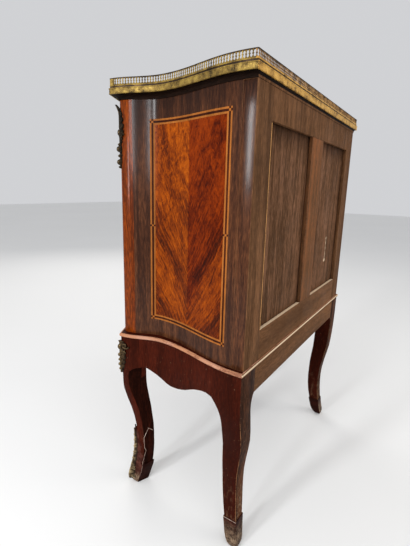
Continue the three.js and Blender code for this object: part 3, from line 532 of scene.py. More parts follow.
class Finish:
    """A new material of a name, or one taken up again, with short calls for its shader nodes."""

    def __init__(self, material):
        self.material = bpy.data.materials.new(material) if isinstance(material, str) else material
        self.material.use_nodes = True
        self.tree = self.material.node_tree
        self.inputs = self.tree.nodes["Principled BSDF"].inputs
        self.place = self.add("ShaderNodeTexCoord").outputs["Object"]
        split = self.add("ShaderNodeSeparateXYZ", {0: self.place})
        self.x, self.y, self.z = (Field(self, socket) for socket in split.outputs)

    def add(self, kind, sockets=None, **settings):
        node = self.tree.nodes.new(kind)
        for key, value in settings.items():
            setattr(node, key, value)
        for key, value in (sockets or {}).items():
            self.feed(node.inputs[key], value)
        return node

    def field(self, kind, sockets, output=0, **settings):
        return Field(self, self.add(kind, sockets, **settings).outputs[output])

    def feed(self, socket, value):
        if isinstance(value, Field):
            value = value.socket
        if isinstance(value, bpy.types.NodeSocket):
            self.tree.links.new(value, socket)
        else:
            socket.default_value = value

    def work(self, operation, first, second=0.0):
        return self.field("ShaderNodeMath", {0: first, 1: second}, operation=operation)

    def noise(self, place, scale, detail, rough, warp=0.0):
        return self.field("ShaderNodeTexNoise", {
            "Vector": place, "Scale": scale, "Detail": detail, "Roughness": rough, "Distortion": warp,
        })

    def cloud(self, scale, shift=0.0, detail=3.0, rough=0.55, stretch=(1, 1, 1), warp=0.0):
        spread = self.field("ShaderNodeMapping", {
            "Vector": self.place, "Scale": stretch, "Location": (shift, shift * 0.7, shift * 1.3),
        })
        return self.noise(spread, scale, detail, rough, warp)

    def window(self, value, low, high, start=0.0, end=1.0):
        return self.field("ShaderNodeMapRange", {0: value, 1: low, 2: high, 3: start, 4: end})

    def shades(self, amount, *stops):
        node = self.add("ShaderNodeValToRGB", {0: amount})
        elements = node.color_ramp.elements
        while len(elements) < len(stops):
            elements.new(1.0)
        for element, (at, colour) in zip(elements, stops):
            element.position = at
            element.color = (*colour, 1)
        return Field(self, node.outputs[0])

    def blend(self, amount, first, second, way="MIX"):
        first, second = [(*c, 1) if isinstance(c, tuple) else c for c in (first, second)]
        sockets = {0: amount, 6: first, 7: second}
        return self.field("ShaderNodeMix", sockets, 2, data_type="RGBA", blend_type=way)

    def cover(self, amount, colour, way="MIX"):
        """Lays a colour over the finish as it stands."""
        before = self.inputs["Base Color"].links[0].from_socket
        self.feed(self.inputs["Base Color"], self.blend(amount, before, colour, way))

    def relief(self, height, depth):
        self.feed(self.inputs["Normal"], self.field("ShaderNodeBump", {"Height": height, "Distance": depth}))

    def finish(self, colour, rough, metal=0.0, coat=0.0, shine=0.5, ior=1.45):
        values = {
            "Base Color": colour, "Roughness": rough, "Metallic": metal, "Coat Weight": coat,
            "Coat Roughness": COAT_ROUGH, "Specular IOR Level": shine, "IOR": ior,
        }
        for name, value in values.items():
            self.feed(self.inputs[name], value)
        return self.material


def drawn_out(along, share):
    """How a pattern is squeezed one way, so that it runs along that way."""
    return tuple(share if axis == along else 1 for axis in "XYZ")


def times(colour, *shares):
    """A colour with all its parts, or each of them, multiplied."""
    return tuple(part * shares[i % len(shares)] for i, part in enumerate(colour))


def wood(name, dark, light, along="Z", shift=0.0, rough=(0.35, 0.5), coat=0.0, pores=0.5, deep=0.00005,
         grime=0.0, figure=26.0, shine=0.12, ior=1.2, crisp=1.0):
    """Plain sawn or veneered wood with growth bands, fine streaks, pores and faint blotches."""
    f = Finish(name)
    bands = f.cloud(figure, shift, 4, 0.6, drawn_out(along, 0.06), 0.9)
    streaks = f.cloud(330, shift + 3, 4, 0.65, drawn_out(along, 0.17))
    blotches = f.cloud(4.5, shift + 7, 3, 0.5)
    pore = f.window(f.cloud(1500, shift + 11, 2, 0.5, drawn_out(along, 0.025)), 0.52, 0.68)
    tone = bands * 0.45 + streaks * 0.4 + blotches * 0.15
    middle = tuple((a * b) ** 0.5 for a, b in zip(dark, light))
    stops = [(0.34, times(dark, 0.75)), (0.45, dark), (0.53, middle), (0.64, light)]
    colour = f.shades(tone, *[(0.49 + (at - 0.49) / crisp, tint) for at, tint in stops])
    colour = f.blend(pore * pores, colour, times(dark, 0.45))
    if grime:
        stain = f.window(f.cloud(9, shift + 17, 4, 0.65), 0.5, 0.72)
        colour = f.blend(stain * grime, colour, times(dark, 0.5))
    f.relief(pore * -1 + streaks, deep)
    gloss = f.window(f.cloud(14, shift + 5, 3, 0.6), 0.35, 0.65, *rough)
    return f.finish(colour, gloss, coat=coat, shine=shine, ior=ior)


FLAME_BANDS = (  # where a band crosses the grain, and how light it is there
    (0, 0.36), (0.3, 0.4), (0.465, 0.43), (0.485, 0.35), (0.53, 0.39), (0.58, 0.5), (0.7, 0.56),
    (0.8, 0.46), (0.9, 0.54), (1, 0.66),
)
FLAME_VERTEX = 0.064  # grain line on which the dark V lies


def flame(name, along, seam, low, palette, slope=1.4, right_tint=(0.66, 0.44, 0.44)):
    """Book-matched veneer: grain and a smoky band run down to the seam in a V, with burr above them."""
    f = Finish(name)
    across = getattr(f, along.lower()) - seam / METRE
    away = abs(across)
    height = f.z - low / METRE
    run = 0.8  # metres of height over which the grain leans out
    fade = f.work("POWER", 2.71828, height * (-1 / run))
    climb = (1.0 - fade) * run
    wander = (f.cloud(9, 1.7, 2, 0.5) - 0.5) * 0.04
    grain = climb - away * slope + wander
    length = height + away * 0.5

    def streaks(scale, stretch, shift, detail):
        lay = f.field("ShaderNodeCombineXYZ", {0: grain, 1: length * stretch, 2: shift})
        return f.noise(lay, scale, detail, 0.6)

    broad = streaks(22, 0.22, 2.3, 3)
    fine = streaks(130, 0.12, 5.1, 4)
    hair = streaks(620, 0.06, 7.7, 2)
    mottle = f.cloud(55, 4.1, 5, 0.7, (1, 1, 0.6), 1.4)
    burr = f.window(height + mottle * 0.1, 0.28, 0.42)
    share = f.window(grain, FLAME_VERTEX - 0.21, FLAME_VERTEX + 0.21)
    bands = f.add("ShaderNodeFloatCurve", {"Value": share})
    points = bands.mapping.curves[0].points
    for at, level in FLAME_BANDS[1:-1]:
        points.new(at, level)
    points[0].location, points[-1].location = FLAME_BANDS[0], FLAME_BANDS[-1]
    bands.mapping.update()
    straight = 1.0 - burr * 0.7
    lines = (broad * 0.45 + fine * 0.75 - 0.6) * straight
    swirl = (mottle - 0.5) * (0.4 + burr * 0.5)
    tone = Field(f, bands.outputs[0]) * 0.5 + (lines + swirl) + hair * 0.25
    tone += (f.cloud(300, 9.1, 4, 0.7, (1, 1, 0.4)) - 0.5) * 0.5
    colour = f.shades(tone + 0.13, *zip((0.3, 0.45, 0.61, 0.82), palette))
    right = f.window(across, -0.0002, 0.0002)
    upper = f.window(grain, FLAME_VERTEX - 0.035, FLAME_VERTEX + 0.01, 0.35, 1.0)
    colour = f.blend(right * upper, colour, right_tint, "MULTIPLY")
    pore = f.window(hair, 0.4, 0.3)
    colour = f.blend(pore * 0.45, colour, times(palette[0], 0.5))
    colour = f.blend(f.window(away, 0.0001, 0.0003, 0.45, 0.0), colour, times(palette[0], 0.4))
    f.relief(hair - pore, 0.00003)
    gloss = f.window(f.cloud(11, 5.5, 3, 0.6), 0.35, 0.65, 0.3, 0.44)
    return f.finish(colour, gloss, coat=0.02, shine=0.1, ior=1.25)


def worn(name, bare, dark, share=0.5, along="Z", other=None, scale=60):
    """Rubbed edges where the polish is gone in patches, some of them in another tint; on the ledge and the
    bottom rail's top the pale patches are also painted highlight.
    """
    f = Finish(name)
    patches = f.cloud(scale, 3.7, 4, 0.7, drawn_out(along, 0.06))
    fine = f.cloud(420, 1.2, 2, 0.6)
    amount = f.window(patches * 0.75 + fine * 0.25, 0.62 - 0.3 * share, 0.7 - 0.3 * share)
    if other:
        bare = f.blend(f.window(f.cloud(14, 8.3, 2, 0.5), 0.42, 0.58), bare, other)
    return f.finish(f.blend(amount, dark, bare), 0.55, shine=0.1, ior=1.3)


def painted_shade(material, *places):
    """Darkens a finish with painted shade under overhangs and in recesses: way, place where it starts, place
    where it is full, amount.
    """
    f = Finish(material)
    ways = {"up": f.z, "aside": abs(f.x)}
    for way, start, full, amount in places:
        # painted shade: a multiplied grey-brown that grows from the start place to the full place
        f.cover(f.window(ways[way], start, full, 0.0, amount), (0.26, 0.22, 0.2), "MULTIPLY")


def scuffed(material, tint, weight, scale):
    """Adds small knocks, and worn patches low down, to the polish of the legs."""
    f = Finish(material)
    low = f.window(f.z, 0.02, 0.2, 1.0, 0.0)
    patches = f.window(f.cloud(scale, 12.4, 5, 0.7, (1, 1, 0.6)), 0.54, 0.66)
    knocks = f.window(f.cloud(310, 15.2, 2, 0.5, (1, 1, 0.5)), 0.7, 0.76)
    f.cover(f.work("MAXIMUM", patches * low * weight, knocks * 0.45), tint)


def scratched(material):
    """Adds an old scratch, with a chip at each end, to the far back board."""
    f = Finish(material)
    rough = (f.cloud(210, 6.1, 5.0) - 0.5) * 0.011
    broken = f.window(f.cloud(150, 2.4), 0.4, 0.52, 0.3, 1.0)
    across, up = -0.1915, 0.655  # middle of the scratch, in metres
    aside = f.x - across + rough
    line = f.window(abs(aside), 0.0012, 0.0024, 1.0, 0.0) * broken
    amount = line * f.window(abs(f.z - up), 0.034, 0.036, 1.0, 0.0)
    for place, level, size in ((0.002, 0.617, 0.0062), (0.0, 0.688, 0.003)):
        wide = (aside - place) * 0.7
        down = f.z - level
        reach = f.work("SQRT", wide * wide + down * down)
        amount = f.work("MAXIMUM", amount, f.window(reach + rough, size * 0.7, size, 1.0, 0.0))
    f.cover(amount, paint(214, 190, 160))


def dovetailed(material):
    """Adds the end grain of dovetails at the front and back ends of the drawer sides."""
    f = Finish(material)
    pitch, tail_half, lean = 0.0165, 0.0105, -0.22
    rise = f.work("PINGPONG", f.z, pitch)
    for sign, end in ((1.0, -0.143), (-1.0, 0.165)):
        into = (f.y - end) * sign
        tail = f.window(rise - (tail_half + into * lean), -0.0002, 0.0002)
        near = f.window(into, 0.0118, 0.0122, 1.0, 0.0)
        f.cover(tail * near * 0.6, paint(92, 60, 36))


def metal(name, bright, shade, dirt, rough=(0.46, 0.62), tarnish=0.6, hammer=0.0001, share=0.45):
    """Old cast or rolled metal: patches of tarnish, dirt and fine pitting."""
    f = Finish(name)
    patches = f.cloud(55, 2.2, 4, 0.65)
    fine = f.cloud(420, 5.1, 3, 0.6)
    tone = patches * 0.7 + fine * 0.3
    colour = f.shades(tone, (0.36, dirt), (0.36 + 0.2 * tarnish, shade), (0.62, bright))
    f.relief(fine, hammer)
    return f.finish(colour, f.window(patches, 0.35, 0.7, rough[1], rough[0]), metal=share, shine=0.3)


def cast_metal(name, bright, shade, dirt, share=1.0, foot=0.0, metal=0.9, shine=0.5):
    """Cast bronze: bright where hands rub its ridges, dark in its hollows, greyer near the floor."""
    f = Finish(name)
    rub = f.field("ShaderNodeAttribute", {}, "Fac", attribute_name="rub")
    patches = f.cloud(70, 2.2, 4, 0.65)
    fine = f.cloud(520, 5.1, 3, 0.6)
    tone = rub * (0.55 * share) + patches * 0.55
    colour = f.shades(tone, (0.24, dirt), (0.42, shade), (0.72, bright))
    if foot:
        blots = patches * 0.5 + f.cloud(330, 8.8, 5.0) * 0.5
        low = f.window(f.z, foot / METRE, 0.02) * f.window(blots, 0.4, 0.62)
        colour = f.blend(low * 0.75, colour, paint(160, 138, 112))
    f.relief(fine, 0.0002)
    rough = f.window(tone, 0.3, 0.8, 0.55, 0.5 - 0.24 * metal)
    return f.finish(colour, rough, metal=metal, shine=shine, ior=1.2 + 0.25 * metal)


class Workshop:
    """All finishes of the chest, made once from the scene's colours."""

    def __init__(self, colours):
        stain, leg, post, string, bare, brass, bronze = [
            tuple(getattr(colours, name))
            for name in ("stain", "leg", "post", "string", "back", "brass", "bronze")
        ]
        sheen = paint(106, 63, 36)
        fire = [paint(54, 22, 9), paint(94, 36, 8), paint(136, 60, 8), paint(168, 82, 14)]
        self.dark = wood("stained_wood", times(stain, 0.6), sheen, rough=(0.42, 0.55), coat=0.2, pores=0.6,
                         deep=0.00008, figure=52.0)
        # painted shade on the stiles' top, under the cove
        painted_shade(self.dark, ("up", 0.955, 1.016, 0.5))
        # shadow: near-black wood, painted shade for the cove under the top's overhang
        self.shadow = wood("cove_polish", paint(16, 9, 6), paint(36, 21, 14), "Y", 4.0, (0.5, 0.62))
        self.leg = wood("leg_polish", times(leg, 0.35), leg, shift=14.0, rough=(0.46, 0.6), pores=0.4,
                        figure=16.0)
        # painted shade: a darker copy of the leg polish for the front legs' inner and back faces
        self.leg_inside = wood("leg_inside", paint(28, 10, 6), paint(64, 25, 15), shift=18.0,
                               rough=(0.5, 0.66), pores=0.4, ior=1.1)
        self.rear_leg_back = wood("rear_leg_back", paint(44, 24, 14), paint(104, 64, 40), shift=15.0,
                                  rough=(0.5, 0.66), grime=0.4, crisp=1.4)
        scuffed(self.leg, paint(132, 98, 74), 0.55, 75)
        scuffed(self.rear_leg_back, paint(156, 138, 112), 1.0, 190)
        self.arris = worn("worn_arris", paint(176, 126, 84), paint(52, 28, 19), 0.55, scale=110)
        self.post = wood("post_veneer", paint(84, 34, 9), post, shift=9.0, rough=(0.34, 0.46), coat=0.14,
                         figure=19.0, crisp=1.3, shine=0.08)
        self.top = wood("top_veneer", paint(84, 30, 10), post, "X", 11.0, (0.3, 0.42), 0.2, figure=13.0,
                        crisp=1.2)
        self.top_border = wood("top_border", times(stain, 0.6), sheen, "Y", 12.0, (0.3, 0.42), 0.2,
                               figure=30.0)
        self.side_flame = flame("side_flame_veneer", "Y", SEAM, 508, fire)
        self.front_flame = [
            flame(f"drawer_{n}_flame_veneer", "X", 0, node_low(f"drawer_{n}_front").z - 40, fire, 1.2,
                  (1.0, 1.0, 1.0))
            for n in (1, 2, 3)
        ]
        self.light_string = wood("light_string", times(string, 0.62), string, pores=0.25)
        self.dark_string = wood("dark_string", paint(44, 18, 10), paint(74, 34, 18), pores=0.2)
        self.back = wood("back_frame", times(bare, 0.45), bare, "Z", 21.0, (0.6, 0.78), pores=0.65,
                         deep=0.00012, grime=0.3, figure=60.0, crisp=1.4)
        self.back_panel = wood("back_boards", times(bare, 0.38), times(bare, 1.02, 1.05, 1.25), "Z", 29.0,
                               (0.55, 0.75), pores=0.7, deep=0.00015, grime=0.3, figure=80.0, crisp=1.5)
        # painted shade on the back boards under the top rail, beside the muntin and beside the posts
        painted_shade(self.back_panel, ("up", 0.915, 0.957, 0.75), ("aside", 0.066, 0.045, 0.6),
               ("aside", 0.275, 0.291, 0.5))
        scratched(self.back_panel)
        self.muntin = wood("back_muntin_wood", times(bare, 0.6), times(bare, 1.35, 1.0, 0.8), "Z", 23.0,
                           (0.6, 0.78), pores=0.6, deep=0.0001, grime=0.25, crisp=1.3)
        self.back_level = wood("back_rails", times(bare, 0.5), bare, "X", 25.0, (0.6, 0.78), pores=0.6,
                               deep=0.0001, grime=0.4, crisp=1.3)
        self.carcass = wood("carcass_boards", paint(104, 74, 48), paint(160, 120, 82), "X", 31.0,
                            (0.7, 0.85), deep=0.0001, grime=0.5)
        oak = paint(128, 92, 58), paint(186, 146, 100)
        self.oak = wood("drawer_oak", *oak, "Y", 37.0, (0.62, 0.78), deep=0.0001, grime=0.2)
        dovetailed(self.oak)
        self.oak_level = wood("drawer_oak_level", *oak, "X", 41.0, (0.62, 0.78), deep=0.0001, grime=0.2)
        self.edge = worn("worn_polish", paint(132, 84, 56), paint(50, 27, 18))
        self.gold_edge = worn("worn_back_edge", paint(222, 164, 98), paint(84, 52, 30), 0.75, scale=420)
        # pale edge: wear and painted highlight on the bottom rail's lit top and the ledge's back nose
        self.pale_edge = worn("worn_rail_edge", paint(222, 196, 164), paint(120, 90, 66), 0.95, "X")
        # lip: worn pale wood on the ledge's rounded top, partly painted highlight where light falls on it
        self.lip = worn("worn_ledge", paint(182, 134, 110), paint(122, 76, 56), 0.7, "Y",
                        paint(172, 120, 88))
        self.brass = metal("rolled_brass", brass, paint(118, 94, 44), paint(46, 36, 18), share=0.55)
        # painted light: lighter copies of the brass for the band and gallery on the back
        self.back_brass = metal("back_brass", paint(216, 170, 82), paint(184, 140, 64), paint(92, 68, 34))
        self.back_gallery = metal("back_gallery", paint(184, 142, 88), paint(128, 96, 58), paint(60, 44, 28))
        # dark aged brass for the rail, the nails and the recessed plinth; on the plinth its darkness is also
        # painted shade in the groove
        self.dark_brass_and_groove_shade = metal("aged_brass", paint(84, 62, 38), paint(52, 37, 23), paint(28, 20, 14),
                               (0.42, 0.58), 0.8, 0.00012, 0.6)
        self.bronze = cast_metal("cast_bronze", bronze, paint(62, 47, 31), paint(20, 14, 10))
        # painted shade: the corner mounts' bronze darkened as if in shade
        self.corner_bronze = cast_metal("corner_bronze", paint(62, 50, 34), paint(36, 28, 19),
                                        paint(12, 9, 6))
        self.foot_bronze = cast_metal("foot_bronze", paint(196, 174, 132), paint(70, 53, 37),
                                      paint(26, 18, 13), 0.8)
        self.sabot = cast_metal("dark_sabot", paint(124, 72, 54), paint(76, 36, 26), paint(36, 15, 11),
                                0.8, 62.0, 0.12, 0.15)
        self.front_sabot = cast_metal("front_sabot", paint(132, 86, 72), paint(100, 58, 48),
                                      paint(54, 24, 18), 0.8, 40.0, 0.12, 0.15)
        # painted shade: a darker copy of the sabot bronze for the sabots' inner faces
        self.sabot_inside = cast_metal("sabot_inside", paint(76, 30, 22), paint(50, 20, 14),
                                       paint(32, 12, 8), 0.8, 0.0, 0.0, 0.1)
        self.rim = metal("rubbed_rim", paint(206, 184, 168), paint(160, 134, 120), paint(96, 72, 60),
                         (0.25, 0.42), 0.45, share=0.4)


# Pieces of the chest

BANDING = (3.6, 8.2, 12.0)  # distances of the three strings' far edges from the outer line
SEAM = 34.0  # depth at which the two leaves of a side veneer meet


def build_case(shop):
    """Front posts, rear posts and the inlaid side panels."""
    rail_low = node_low("back_top_rail").z - 4
    sill = node_high("back_bottom_rail").z
    for hand, side in (("right", 1), ("left", -1)):
        dress_node(f"front_post_{hand}", [shop.post, shop.post], 0.7)
        rear = f"rear_post_{hand}"
        inner = min(abs(node_low(rear).x), abs(node_high(rear).x))
        strip = inner + 2.6  # the worn gold line's far side, from the chest's middle
        back = node_high(rear).y

        def post_finish(normal, place):
            if abs(normal.x) > 0.8 and abs(place.x) > inner + 20:
                return 1
            worn_strip = side > 0 and place.y > back - 4 and abs(place.x) < strip
            return 2 if worn_strip and normal.y > 0.3 and sill < place.z < rail_low else 0

        dress_node(
            rear, [shop.back, shop.dark, shop.gold_edge, shop.back], 0.8,
            choose=post_finish, cuts=[(X, side * strip), (Z, rail_low), (Z, sill)],
        )
        build_side_panel(shop, hand)


def band_lines(start, end):
    """Cut lines of a banding that goes in from both ends."""
    return [start + band for band in (0, *BANDING)] + [end - band for band in (0, *BANDING)]


def string_number(here, span):
    """0 to 2 inside a banding along both ends of a span, counted from its outer line, or None."""
    distance = min(here - span[0], span[1] - here)
    return next((number for number, far in enumerate(BANDING) if 0 <= distance < far), None)


def banded(a, z, wide, tall, squares=None):
    """Finish number on a board: 0 round the banding, 1 inside it, 2 and 3 for its light and dark
    strings and for the squares where they cross or where an upright band has its middle figure."""
    if not (wide[0] < a < wide[1] and tall[0] < z < tall[1]):
        return 0
    upright, level = string_number(a, wide), string_number(z, tall)
    if upright is None and level is None:
        return 1
    if squares and level is None and abs(z - squares) < 6:
        level = int((z - squares + 6) // 4)
    if upright is not None and level is not None:
        return 2 + (upright + level) % 2
    return 3 if (level if upright is None else upright) == 1 else 2


def build_side_panel(shop, hand):
    """A curved side with its book-matched panel, banding, corner squares and middle squares."""
    node = f"side_panel_{hand}"
    (front, back), (low, high) = [(node_low(node)[i], node_high(node)[i]) for i in (1, 2)]
    ys, zs = (-82.0, 153.0), (508.0, 977.0)
    squares = 741.0  # height of the figures in the middle of the upright bands
    post_edge = -119.0  # depth at which the front post's veneer ends
    thick = 18
    across = merged_lines([*band_lines(*ys), post_edge, SEAM], front, back, 8)
    heights = merged_lines([*band_lines(*zs), *(squares + d for d in (-6, -2, 2, 6))], low, high, 60)
    points, faces, marks = inlaid_board(
        across, heights,
        lambda y, z: Vector((side_x(CASE, y), y, z)),
        lambda y, z: Vector((side_x(CASE, y) - thick, y, z)),
        lambda y, z: 4 if y < post_edge else banded(y, z, ys, zs, squares), 0,
    )
    if hand == "left":
        points, faces = mirror_mesh(points, faces)
    finishes = [shop.dark, shop.side_flame, shop.light_string, shop.dark_string, shop.post]
    make_piece(f"inlaid_side_{hand}", points, faces, finishes, "carcass", "marquetry", (node,), marks)


def build_top(shop):
    """The veneered top, its cove and the moulded brass band round it."""
    lines = list(zip(outline(CASE), outline(TOP)))
    rings = [
        [(*a.lerp(b, reach), CASE_HIGH + (TOP_LOW - CASE_HIGH) * rise) for a, b in lines]
        for reach, rise in ((0.1, 0), (0.11, 0.2), (0.16, 0.45), (0.24, 0.65), (0.36, 0.8), (0.5, 0.9),
                            (0.56, 0.94), (0.56, 1))
    ]
    points, faces = rings_to_mesh(rings)
    # Painted shade: the cove is near-black all round, except the lower half on the back, which shows the bare
    # back wood.
    painted_shade_low = CASE_HIGH + 0.5 * (TOP_LOW - CASE_HIGH)
    marks = []
    for face in faces:
        middle = middle_of(points, face)
        marks.append(int(len(face) == 4 and middle.y > CASE.back and middle.z < painted_shade_low))
    make_piece("cove_moulding", points, faces, [shop.shadow, shop.back], "carcass", "dark_wood",
               ("top_cove",), marks)

    section = [
        (-3.0, 0.0), (-0.6, 0.0), (0.1, 0.04), (0.3, 0.1), (0.1, 0.15), (-0.5, 0.19), (-0.55, 0.3),
        (-0.5, 0.5), (-0.55, 0.72), (-0.5, 0.8), (0.1, 0.84), (0.45, 0.88), (0.5, 0.92), (0.3, 0.97),
        (-0.3, 1.0), (-3.0, 1.0),
    ]
    rings = [ring_at(TOP_LOW + (TOP_HIGH - TOP_LOW) * rise, TOP, out) for out, rise in section]
    points, faces = rings_to_mesh(rings, closed=True)
    # the band's back faces take the lighter, painted-light brass
    marks = [int(all(points[i][1] > TOP.back - 4 for i in face)) for face in faces]
    make_piece("brass_band", points, faces, [shop.brass, shop.back_brass], "carcass", "brass",
               ("top_band",), marks)
    build_top_veneer(shop)
    build_band_nails(shop)


def build_band_nails(shop):
    """Small round nail heads that hold the brass band."""
    line = outline(TOP, -0.55)
    level = TOP_LOW + 0.5 * (TOP_HIGH - TOP_LOW)
    points, faces = [], []
    for k in range(4, len(line), 9):
        here, after = line[k], line[(k + 1) % len(line)]
        along = (after - here).normalized()
        out = Vector((along.y, -along.x, 0))
        across = Vector((*along, 0))
        rings = []
        for rise, wide in ((-0.3, 1.2), (0.1, 1.2), (0.4, 0.9), (0.55, 0.4)):
            middle = Vector((*here, level)) + out * rise
            rings.append([middle + across * wide * math.cos(t) + Z * wide * math.sin(t) for t in turns(10)])
        gather(points, faces, *rings_to_mesh(rings))
    make_piece("band_nails", points, faces, [shop.dark_brass_and_groove_shade], "carcass", "brass")


def smaller(shape, inset):
    """A plan drawn in by a border's width, with as many points in its outline."""
    sizes = {key: getattr(shape, key) - inset for key in ("bulge", "waist", "nose", "cant", "back")}
    depths = {key: getattr(shape, key) + inset for key in ("nose_y", "cant_y")}
    return shape._replace(**sizes, **depths)


def build_top_veneer(shop):
    """The top board with a veneered field, a string and a crossbanded border."""
    low, high = node_low("top_board").z, node_high("top_board").z
    levels = [(3.2, low), (3.2, high - 0.4), (3.6, high), (36.0, high), (38.5, high)]
    rings = [ring_at(z, smaller(TOP, inset)) for inset, z in levels]
    points, faces = rings_to_mesh(rings)
    marks = [(0, 0, 3, 2)[min(face) // len(rings[0])] for face in faces[:-2]] + [0, 1]
    make_piece("top_veneer", points, faces, [shop.shadow, shop.top, shop.light_string, shop.top_border],
               "carcass", "veneer", ("top_board",), marks)


def open_path(inset):
    """The gallery's line on the top, from one front corner round the back to the other."""
    front = 8
    return outline(TOP._replace(nose_round=0), -inset, 60, front)[front + 1:-front]


def along_path(path, distance):
    """Point, direction and outward direction at a distance along an open line."""
    for a, b in zip(path, path[1:]):
        length = (b - a).length
        if distance <= length or b == path[-1]:
            along = (b - a).normalized()
            return a + along * distance, along, Vector((along.y, -along.x))
        distance -= length
    raise ValueError("the distance lies past the end of the line")


def swept_rail(path, section):
    """A moulding that follows an open line; the section gives how far out and how high."""
    rings = []
    for i, here in enumerate(path):
        into = (here - path[i - 1]).normalized() if i else (path[1] - here).normalized()
        out = (path[i + 1] - here).normalized() if i < len(path) - 1 else into
        rings.append([(*moved_out(into, here, out, distance), z) for distance, z in section])
    return rings_to_mesh(rings)


def build_gallery(shop, pitch):
    """The pierced gallery: moulded base, beaded balusters at the real spacing and a rounded rail."""
    low, high = TOP_HIGH, GALLERY_HIGH
    path = open_path(3.6)
    groove, foot = low + 3.6, low + 7.2
    # the recessed plinth is dark: painted shade in the groove between the band and the baluster base
    plinth = [(-1.3, low), (1.1, low), (1.0, groove), (-1.3, groove)]
    base = [
        (-1.5, groove), (1.9, groove), (2.2, groove + 0.7), (2.0, groove + 1.4), (1.4, groove + 1.9),
        (1.3, foot - 1.0), (1.0, foot - 0.3), (0.6, foot), (-0.8, foot), (-1.5, groove + 1.6),
    ]
    rail = [(1.5 * math.cos(a), high - 1.3 + 1.3 * math.sin(a)) for a in turns(10)]
    points, faces, marks = [], [], []
    for section, mark in ((plinth, 1), (base, 3), (rail, 1)):
        gather(points, faces, *swept_rail(path, section))
        marks += [mark] * (len(faces) - len(marks))

    length = sum((b - a).length for a, b in zip(path, path[1:]))
    post_wide = 11.0
    first = post_wide + pitch * 0.5
    count = round((length - 2 * first) / pitch)
    foot -= 0.3
    head = high - 2.2
    profile = [
        (2.4, 0), (2.1, 0.08), (1.1, 0.2), (0.9, 0.28), (1.2, 0.4), (2.1, 0.47), (2.2, 0.53), (1.2, 0.6),
        (0.9, 0.72), (1.1, 0.8), (2.1, 0.92), (2.4, 1),
    ]
    for i in range(count + 1):
        at, along, out = along_path(path, first + (length - 2 * first) * i / count)
        gather(points, faces, *rings_to_mesh([
            [(*(at + along * (r * math.cos(t)) + out * (min(r, 1.3) * math.sin(t))),
              foot + (head - foot) * share) for t in turns(8)]
            for r, share in profile
        ]))
    half = post_wide / 2
    corners = [(-half, -1.2), (half, -1.2), (half, 1.2), (-half, 1.2)]
    for distance in (half, length - half):
        at, along, out = along_path(path, distance)
        gather(points, faces, *rings_to_mesh([
            [(*(at + along * a * k + out * b), z) for a, b in corners]
            for k, z in ((1, foot), (0.92, foot + 1), (0.92, head - 1), (1, head))
        ]))
    marks += [0] * (len(faces) - len(marks))
    # on the back, balusters and the baluster base take the lighter, painted-light brass
    beside, behind = (0, 1, 2, 0), (2, 1, 2, 3)
    marks = [
        (behind if points[face[0]][1] > TOP.back - 8 else beside)[mark] for face, mark in zip(faces, marks)
    ]
    finishes = [shop.brass, shop.dark_brass_and_groove_shade, shop.back_gallery, shop.back_brass]
    make_piece("pierced_gallery", points, faces, finishes, "carcass", "brass", ("gallery",), marks, 50)


def build_back(shop):
    """The framed back with its two loose panels."""
    panel_face = node_high("back_panel_right").y
    dress_node("back_top_rail", [shop.back, shop.back], 0.9)
    # the bottom rail's upward faces behind the panels take the pale edge: wear and painted highlight
    dress_node(
        "back_bottom_rail", [shop.back_level, shop.pale_edge, shop.back_level], 0.7,
        choose=lambda normal, place: int(normal.z > 0.8 and place.y > panel_face), cuts=[(Y, panel_face)],
    )
    dress_node("back_muntin", [shop.muntin, shop.edge], 0.8)
    for hand in ("right", "left"):
        dress_node(f"back_panel_{hand}", [shop.back_panel, shop.back_panel], 0.4)


def build_base(shop):
    """The ledge, the aprons and the four legs."""
    tall = CASE_LOW - LEG_TOP
    ledge = [(-1, 0), (0.2, 0.05), (0.8, 0.2), (1, 0.42), (0.7, 0.62), (-0.2, 0.8), (-1.6, 0.93), (-3.5, 1)]
    rings = [ring_at(LEG_TOP + tall * rise, FRIEZE, LEDGE_LIP + out) for out, rise in ledge]
    points, faces = rings_to_mesh(rings)
    marks = []
    for face in faces:
        middle = middle_of(points, face)
        rise = (middle.z - LEG_TOP) / tall
        # the back's nose takes the pale rail edge and the upper rounds the pale lip, both wear and painted
        # highlight
        if len(face) > 4:
            marks.append(0)
        elif middle.y > FRIEZE.back + 1:
            marks.append(3 if 0.4 < rise < 0.72 else 2)
        else:
            marks.append(1 if rise > 0.12 else 0)
    make_piece("ledge_moulding", points, faces, [shop.leg, shop.lip, shop.back_level, shop.pale_edge],
               "carcass", "dark_wood", ("base_moulding",), marks)
    dress_node("front_apron", [shop.post, shop.edge], 0.9, crisp=meets_leg("front_apron", 0))
    dress_node("back_apron", [shop.back_level, shop.edge], 0.7, crisp=meets_leg("back_apron", 0))
    for hand in ("right", "left"):
        side, front, rear = f"side_apron_{hand}", f"leg_front_{hand}", f"leg_rear_{hand}"
        dress_node(side, [shop.leg, shop.edge], 0.9, crisp=meets_leg(side, 1))
        dress_node(
            front, [shop.leg, shop.leg_inside, shop.leg], 1.0, angle=50, crease=40,
            choose=faces_inwards, crisp=meets_apron(front, 1),
        )
        dress_node(
            rear, [shop.leg, shop.rear_leg_back, shop.arris], 1.5, angle=50, crease=40,
            choose=lambda normal, place: int(normal.y > 0.7), crisp=meets_apron(rear, -1),
        )


def faces_inwards(normal, place):
    """1 where a face of a front leg or its sabot looks neither to the side nor to the front; these faces take
    painted shade.
    """
    return 0 if normal.x * math.copysign(1, place.x) > 0.6 or normal.y < -0.6 else 1


def meets_leg(node, axis):
    """Whether a place is at an apron's end, where it meets a leg."""
    ends = node_low(node)[axis], node_high(node)[axis]
    return lambda place: min(abs(place[axis] - end) for end in ends) < 1


